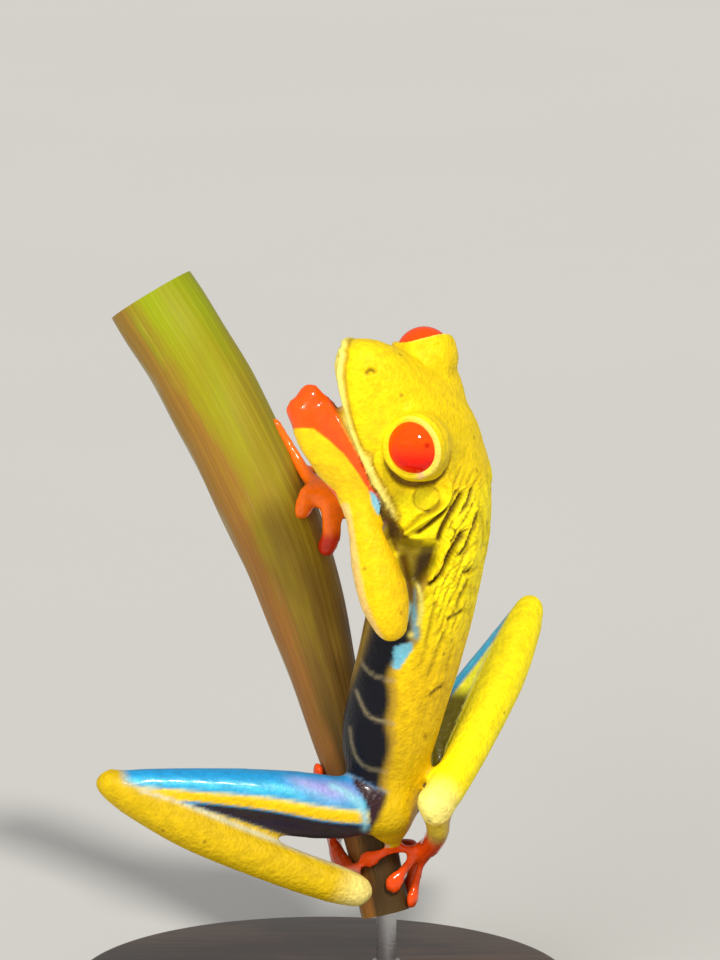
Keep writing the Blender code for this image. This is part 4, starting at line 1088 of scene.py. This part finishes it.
ARM_EDGE = [(345, 507), (346, 510), (348, 520), (354, 559), (361, 597), (370, 622), (383, 646)]
UNDER_CHIN = [(366, 488), (377, 489), (386, 504), (396, 521), (404, 530), (412, 541), (412, 556), (396, 552),
              (384, 535), (374, 512)]
UNDER_ARM = [(396, 538), (424, 540), (418, 560), (417, 582), (411, 602), (403, 590), (399, 565)]
PIT = [(415, 560), (424, 554), (434, 552), (437, 558), (434, 567), (428, 576), (420, 584), (414, 580)]

colour = np.tile(np.array(SUNNY), (len(skin_points), 1))
wet = np.zeros(len(skin_points))


def paint(mask, value, gloss=None):
    """Mixes a colour, and a gloss, over the skin by the mask."""
    colour[:] = colour + mask[:, None] * (np.array(value) - colour)
    if gloss is not None:
        wet[:] = wet + mask * (gloss - wet)


def stroke(pixels, width, on, *looks):
    """Paints a soft line through pixels of the view."""
    paint(bell(from_path(pixels, on)[0], width) * on, *looks)


def dab(pixel, width, on, *looks):
    """Paints a soft round spot at a pixel of the view."""
    paint(bell(apart(seen, pixel) / PIXELS_PER_MM, width) * on, *looks)


# The trunk and head come first, then the belly and the throat.
head, trunk = part_of("head"), part_of("trunk")
near_side = step(-skin_facing[:, 1], 0, 0.5)
paint(head, LEMON)
# The upper back is painted a brighter yellow than the head. This is painted sunlight on it.
paint(trunk * step(share, 0.56, 0.24), BRIGHT)
paint(trunk * step(share, 0.97, 0.1), LEMON)
paint(trunk * fall(share, 0.42, 0.36), GOLD)
clouds = np.sin(seen[:, 0] * 0.31 + 2 * np.sin(seen[:, 1] * 0.17)) * np.sin(seen[:, 1] * 0.23 + seen[:, 0] * 0.11)
paint(trunk * step(clouds, 0.45, 0.8) * fall(share, 0.78, 0.2) * 0.5, GOLD)
flank_edge = table(seen[:, 1], FLANK_EDGE)
into_flank = (flank_edge - seen[:, 0]) / PIXELS_PER_MM + 0.25 * np.sin(seen[:, 1] / 9)
low_trunk = trunk * fall(share, 0.7, 0.05)
flank = low_trunk * step(into_flank, 0.85, 1.1)
paint(low_trunk * step(into_flank, -0.1, 0.9), OCHRE, 0.4)
paint(flank, NAVY, 0.22)
paint(flank * fall(share, 0.16, 0.16), MAROON, 0.5)
for pixels, strength in FLANK_BARS:
    stroke(pixels, 0.2, trunk * (shown > 0) * strength, BAR)
belly_angle = table(share, BELLY_EDGE)
paint(trunk * step(np.abs(angle) + 3 * np.sin(share * 31), belly_angle, 10), CREAM, 0.3)
paint(trunk * bell(np.abs(angle) - belly_angle + 10, 9) * step(share, 0.42, 0.1) * 0.6, OCHRE)
paint(inside_of([(393, 647), (414, 641), (411, 652), (398, 671), (392, 667)], 0.25) * trunk, DEEP_TEAL, 0.4)
throat = head * fall(above_mouth, -1.6, 1) * (above_mouth < 50)
paint(np.maximum(throat, head * fall(head_place[:, 2], -8.2, 0.8)), CREAM)

# The thighs are blue, brighter along a yellow band, and painted dark below it on the left one, as shade on
# its underside. The angle round a thigh is counted down its near side: way, start, and the two edges of the band, in
# degrees.
for side_name, band, band_colour, shin_colour, under in (
        ("left", (-1, 0, 76, 107), SUNNY, AMBER, NAVY_VIOLET),
        ("right", (1, 150, 54, 122), GREEN_YELLOW, BRIGHT, BLUE)):
    paint(part_of("upper_arm_" + side_name), GREY_BLUE, 0.4)
    paint(part_of("forearm_" + side_name), SUNNY)
    # The left shin is painted a darker amber as painted shade, and the right shin a brighter yellow as painted
    # sunlight.
    paint(part_of("shin_" + side_name), shin_colour)
    thigh_share, thigh_angle = places["thigh_" + side_name]
    way, start, low, high = band
    side_angle = start + way * thigh_angle + 1.5 * np.sin(thigh_share * 19)
    thigh = part_of("thigh_" + side_name, soft=0.34)
    thigh *= 1 - step(thigh_share + 0.02 * np.sin(thigh_angle / 14), 0.885, 0.05)
    paint(thigh, BLUE, 0.48)
    bright = bell(side_angle - low + 24, 15) * (0.75 + 0.25 * np.sin(thigh_share * 61 + side_angle * 0.2))
    paint(thigh * np.clip(bright, 0, 1), SKY)
    paint(thigh * bell(thigh_share - 0.23, 0.09) * bell(side_angle - low + 40, 26) * 0.85, VIOLET)
    paint(thigh * step(side_angle, low, 7) * fall(side_angle, high, 7), band_colour, 0.2)
    paint(thigh * bell(side_angle - low, 4) * 0.5, PALE)
    # Below the band, painted shade: dark on the left thigh's underside, and darker on both thighs toward the hip.
    below_band = thigh * step(side_angle, high + 6, 8)
    paint(below_band, under, 0.25)
    paint(below_band * fall(thigh_share, 0.5, 0.15), NAVY_VIOLET, 0.25)
thigh = part_of("thigh_left") * near_side
stroke([(332, 786), (347, 793), (358, 803), (365, 816), (366, 828)], 0.45, thigh * 0.9, TEAL, 0.5)
# A pale lilac patch near the hip. It is partly the thigh's own colour and partly a painted highlight.
lilac_sheen = np.hypot((seen[:, 0] - 304) / 30, (seen[:, 1] - 783 - 0.25 * (seen[:, 0] - 304)) / 9)
paint(fall(lilac_sheen, 0.2, 1.6) * thigh * 0.6, LILAC, 0.8)
hip = inside_of(HIP, 0.5, part_of("trunk", "thigh_left") * near_side)
paint(hip * (1 - trunk), MAROON, 0.4)
paint(hip * step(seen[:, 0] - flank_edge, 0, 8), GOLD, 0.1)

# Hands, shins and heels, and the arm under the chin.
paint(part_of("palm_left", "palm_right", *digits), ORANGE, 0.9)
# The right hand is painted a brighter orange. This is painted sunlight on it.
paint(part_of("fingers_right", "palm_right"), BRIGHT_ORANGE, 0.95)
paint(part_of("fingers_right") * step(seen[:, 1] - 0.5 * seen[:, 0], 372, 14) * near_side, CRIMSON)
shins = part_of("shin_left", "shin_right")
for pixels in SHIN_EDGES:
    stroke(pixels, 0.3, shins * near_side * 0.5, MINT, 0.4)
thigh = part_of("thigh_right") * near_side
stroke([(498, 646), (489, 658), (478, 676), (468, 700)], 0.5, thigh, BLUE, 0.6)
# The right thigh below row 692 is painted dark umber. This is painted shade in the gap between back and shin.
paint(step(seen_at(skin_body)[:, 1], 692, 16) * thigh * 0.92, UMBER, 0.3)
for heel in (HEEL_LEFT, HEEL_RIGHT):
    paint(fall(apart(skin_body, heel), 2.9, 3.6) * shins * 0.8, STRAW)
upper = part_of("trunk", "upper_arm_left") * near_side
stroke([(411, 588), (413, 605), (415, 622), (416, 636)], 0.42, upper, GREY_BLUE, 0.4)
stroke([(417, 582), (421, 598), (421, 612), (418, 624)], 0.28, upper * 0.9, PALE, 0.2)
near_arm = part_of("palm_left", "fingers_left", "forearm_left") * near_side
paint(inside_of(FOREARM_TOP, 0.25, near_arm), SUNNY, 0.35)
under_head = part_of("palm_left", "fingers_left", "forearm_left", "trunk", "head") * near_side
paint(inside_of(WRIST_PATCH, 0.3, under_head), WRIST_BLUE, 0.4)
# The forearm's left edge is painted a pale rosy tone. It is partly its own colour and partly a painted highlight
# along the rim.
paint(fall(from_path(ARM_EDGE, near_arm)[0], 0.5, 0.35) * near_arm * 0.75, ROSY_EDGE_SHEEN, 0.3)
paint(part_of("tarsus_left", "tarsus_right", "toes_left", "toes_right"), SCARLET, 0.9)
for name in ("tarsus_left", "tarsus_right"):
    tarsus_share, tarsus_angle = places[name]
    upper = part_of(name) * fall(tarsus_share, 0.52, 0.3)
    paint(upper, MUDDY, 0.5)
    paint(upper * step(tarsus_angle * np.sign(limbs[name][1][0]), 20, 60), MUSTARD, 0.4)

# Lips, nostril, eardrum, the hollow under the arm, the folds, and the lids round the eyes. Painted shade lies
# along the mouth, in the nostril, under the chin and arm, in the armpit, creases, pleats and the groove round
# the lower lid, and painted highlights lie on the warts.
paint(fall(above_mouth, 1.16, 0.22) * step(above_mouth, -1, 0.8) * mouth_fade, PALE, 0.2)
# A fine ochre line along the lip's inner edge and a brown one along the mouth. Both are painted shade.
paint(bell(above_mouth - 1.38, 0.24) * mouth_fade * 0.85, OCHRE)
paint(bell(above_mouth, 0.16) * mouth_fade * 0.25, BROWN)
# The nostril pit is painted dark brown, as painted shade in it.
paint(np.clip(nostril, 0, 1) * 0.85, BROWN)
paint(fall(drum, 0.95, 0.15) * 0.3, OLIVE)
paint(bell(drum - 1.02, 0.09) * 0.6, OCHRE)
# The armpit, the hollow under the chin and the strip under the arm are painted dark olive and brown. All of it is
# painted shade.
paint(armpit, DARK_OLIVE, 0.3)
hollow = part_of("trunk", "head", "upper_arm_left") * step(-skin_facing[:, 1], -0.3, 0.3)
paint(inside_of(UNDER_CHIN, 0.4, hollow) * 0.92, BROWN)
paint(inside_of(UNDER_ARM, 0.6, hollow) * 0.9, OLIVE)
stroke([(403, 558), (407, 572), (410, 585), (411, 600)], 0.55, hollow, BROWN)
# The deepest part of the armpit is painted umber, as painted shade.
paint(inside_of(PIT, 1.6), UMBER)
paint(rope, LEMON)
# The valleys between the pleats are painted golden-brown, as painted shade.
paint(pleat_shade * 0.75, OCHRE)
# The creases are painted brown, as painted shade in them.
paint(np.clip(crease_shade * 1.35, 0, 1) * 0.95, BROWN)
# Each wart gets a pale glossy dab. This is a painted highlight.
for pixel in WARTS:
    dab(pixel, 0.36, shown, PALE, 0.4)
# The groove round the lower lid is painted brown, as painted shade in it.
paint(np.clip(groove * 1.3, 0, 1), GROOVE_SHADE)
lid_ring = step(lid_distance, -0.5, 0.1) * fall(lid_distance, 1.25 - 0.5 * thin_lid, 0.3)
paint(lid_ring, LEMON, 0.25)
paint(lid_ring * thin_lid * 0.7, PALE)
for pixel, reach in (((421, 476), 0.5), ((397, 429), 0.4)):
    dab(pixel, reach, lid_ring * 0.9, PINK, 0.5)


# Openings of the eyes
# The lids part round each ball. Their moist pink inner side goes in behind the ball's widest ring, so no
# gap shows.
WALL = [
    # slope past the edge of the opening, and depth under the ball's surface in mm
    (0, 0.25), (0.02, 0.8), (0, 1.6),
]


def opened(points, quads, inside, mirror):
    """The skin with the faces inside an eye's opening taken out, the edge drawn onto the opening's
    curve, and a wall carried in from it to behind the ball, where it is closed."""
    kept = quads[~inside[quads].any(axis=1)]
    pairs = np.concatenate([np.stack([kept[:, i], kept[:, (i + 1) % 4]], axis=1) for i in range(4)])
    pairs = pairs[pairs[:, 0] != pairs[:, 1]]
    keys = np.sort(pairs, axis=1) @ (len(points), 1)
    _, first, count = np.unique(keys, return_index=True, return_counts=True)
    rim = pairs[first[count == 1]]
    follow = dict(rim.tolist())
    loop = [rim[0, 0]]
    while follow[loop[-1]] != loop[0]:
        loop.append(follow[loop[-1]])
    loop = np.array(loop)
    turn = np.unwrap(round_eye(points[loop], mirror)[1])
    even = np.linspace(turn[0], turn[0] + np.sign(turn[-1] - turn[0]) * 2 * np.pi, len(loop), endpoint=False)
    offset = turn - even
    for _ in range(12):
        offset = (np.roll(offset, 1) + 2 * offset + np.roll(offset, -1)) / 4
    turn = even + offset
    edge = opening_slope(turn)
    points = points.copy()
    points[loop] = from_eye(edge, turn, np.full(len(loop), EYE_RADIUS + 0.05), mirror)
    walls = [from_eye(edge + tuck, turn, np.full(len(loop), EYE_RADIUS - depth), mirror) for tuck, depth in WALL]
    start, pole = len(points), len(points) + len(WALL) * len(loop)
    rows = np.vstack([loop, *[start + k * len(loop) + np.arange(len(loop)) for k in range(len(WALL))]])
    beside_rows = np.roll(rows, -1, axis=1)
    wall = np.stack([rows[:-1], rows[1:], beside_rows[1:], beside_rows[:-1]], axis=-1).reshape(-1, 4)
    cap = np.stack([rows[-1], np.full(len(loop), pole), beside_rows[-1], beside_rows[-1]], axis=1)
    centre = in_head(EYE_CENTRES[mirror] - GAZE * (mirror, 1, 1))
    return np.vstack([points, *walls, centre]), np.vstack([kept, wall, cap])


for mirror in (-1, 1):
    slope, turn, distance = round_eye(skin_points, mirror)
    inside = (slope < opening_slope(turn) - 0.01) & (distance < 5.5)
    skin_points, skin_faces = opened(skin_points, skin_faces, inside, mirror)
added = len(skin_points) - len(colour)
colour = np.vstack([colour, np.tile(PINK, (added, 1))])
wet = np.concatenate([wet, np.full(added, 0.6)])


# Finish of the skin
# Sunlit skin glows a little, and is finely granular on the back and limbs and smooth and wet on the
# hands and thighs. The granules are cells of 0.4 mm and the fine wrinkles a noise of 1 mm.
GRANULES_PER_METRE, WRINKLES_PER_METRE, SPECKS_PER_METRE = 2300, 900, 295.0
GRANULE_HEIGHT, WRINKLE_HEIGHT = 0.00018, 0.00026
skin_finish, tree = new_material("frog_skin")
where = add_node(tree, "TexCoord")
moist = add_node(tree, "Attribute", output="Fac", attribute_name="wet")
mottle = noise(tree, where, WRINKLES_PER_METRE, 4, 0.6)
granules = add_node(tree, "TexVoronoi", {"Vector": where, "Scale": GRANULES_PER_METRE, "Smoothness": 0.6},
                    feature="SMOOTH_F1")
tint = shaded(tree, add_node(tree, "Attribute", attribute_name="skin_colour"),
              spread(tree, mottle, 0.3, 0.7, 0.84, 1.12))
bare = spread(tree, moist, 0, 0.15, 1, 0)
specks = calculated(tree, "MULTIPLY", flecks(tree, where, SPECKS_PER_METRE, 0.05, 0.1, 0.5), bare)
dry = spread(tree, moist, 0, 1, 0.55, 0.05)
pebbled = bump(tree, granules, dry, GRANULE_HEIGHT, invert=True)
finish(tree, {
    "Base Color": mixed(tree, specks, tint, (0.2, 0.1, 0.008)), "Roughness": spread(tree, moist, 0, 1, 0.55, 0.17),
    "Normal": bump(tree, mottle, dry, WRINKLE_HEIGHT, under=pebbled), "Specular IOR Level": 0.18,
    "Coat Weight": calculated(tree, "MULTIPLY", moist, 0.55), "Coat Roughness": 0.12,
    "Subsurface Weight": 0.1, "Subsurface Scale": 0.0006, "Subsurface Radius": (1, 0.5, 0.2)})
four = skin_faces[:, 2] != skin_faces[:, 3]
skin_faces = skin_faces[four].tolist() + skin_faces[~four, :3].tolist()
skin = mesh_piece("frog_skin", placed(skin_points), skin_faces, skin_finish)
tell(skin, "skin_colour", "FLOAT_COLOR", np.hstack([colour, np.ones((len(colour), 1))]))
tell(skin, "wet", "FLOAT", wet)
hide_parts(*[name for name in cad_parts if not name.startswith(("stand_", "eye_"))])
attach(skin, "root")


# Eyes
# Each eye is a glossy ball. Its iris fills the opening, orange-red above and a deeper red below, with
# fine darker flecks that run out from the middle and one small dark red spot beside it.
IRIS_STOPS = [
    # share of the ball's radius above its middle, in the picture, and colour
    (-0.8, (0.9, 0.006, 0.001)), (-0.5, (0.92, 0.014, 0.001)), (-0.2, (0.94, 0.046, 0.001)),
    (0.1, (0.95, 0.07, 0.001)), (0.9, (0.9, 0.07, 0.002)),
]
SPOT_PLACE, SPOT_SIZE, SPOT_COLOUR = (0.37, 0), 0.1, (0.42, 0.004, 0.001)
BACK_COLOUR = (0.1, 0.004, 0.001)
for mirror, name in ((-1, "eye_left"), (1, "eye_right")):
    points, faces = ball(in_head(EYE_CENTRES[mirror])[0], EYE_RADIUS, 128)
    out = unit(points - in_head(EYE_CENTRES[mirror])[0])
    gaze = in_head(GAZE * (mirror, 1, 1))[0] - HEAD
    ring = out @ gaze
    iris = np.stack([np.interp(out[:, 2], [stop for stop, _ in IRIS_STOPS], [tone[k] for _, tone in IRIS_STOPS])
                     for k in range(3)], axis=1)
    turn = np.arctan2(*(out - ring[:, None] * gaze)[:, (0, 2)].T)
    rays = np.sin(turn * 23 + 3 * ring) * np.sin(turn * 41 - 9 * ring)
    iris *= (1 - 0.14 * step(rays, 0.35, 0.5) * step(ring, 0.8, 0.5))[:, None]
    spot = fall(apart(out[:, (0, 2)], SPOT_PLACE), SPOT_SIZE, 0.1)
    iris += (spot * (out[:, 1] < 0) * 0.75)[:, None] * (SPOT_COLOUR - iris)
    iris += fall(ring, 0.36, 0.06)[:, None] * (BACK_COLOUR - iris)
    red, tree = new_material(name + "_iris")
    grains = noise(tree, add_node(tree, "TexCoord"), 2600, 3)
    tint = add_node(tree, "Attribute", attribute_name="iris_colour")
    finish(tree, {"Base Color": shaded(tree, tint, spread(tree, grains, 0.3, 0.7, 0.86, 1.06)), "Roughness": 0.08,
                  "Specular IOR Level": 0.22})
    eye = mesh_piece("glossy_" + name, placed(points), faces, red)
    tell(eye, "iris_colour", "FLOAT_COLOR", np.hstack([iris, np.ones((len(iris), 1))]))
    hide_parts(name)
    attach(eye, "root")
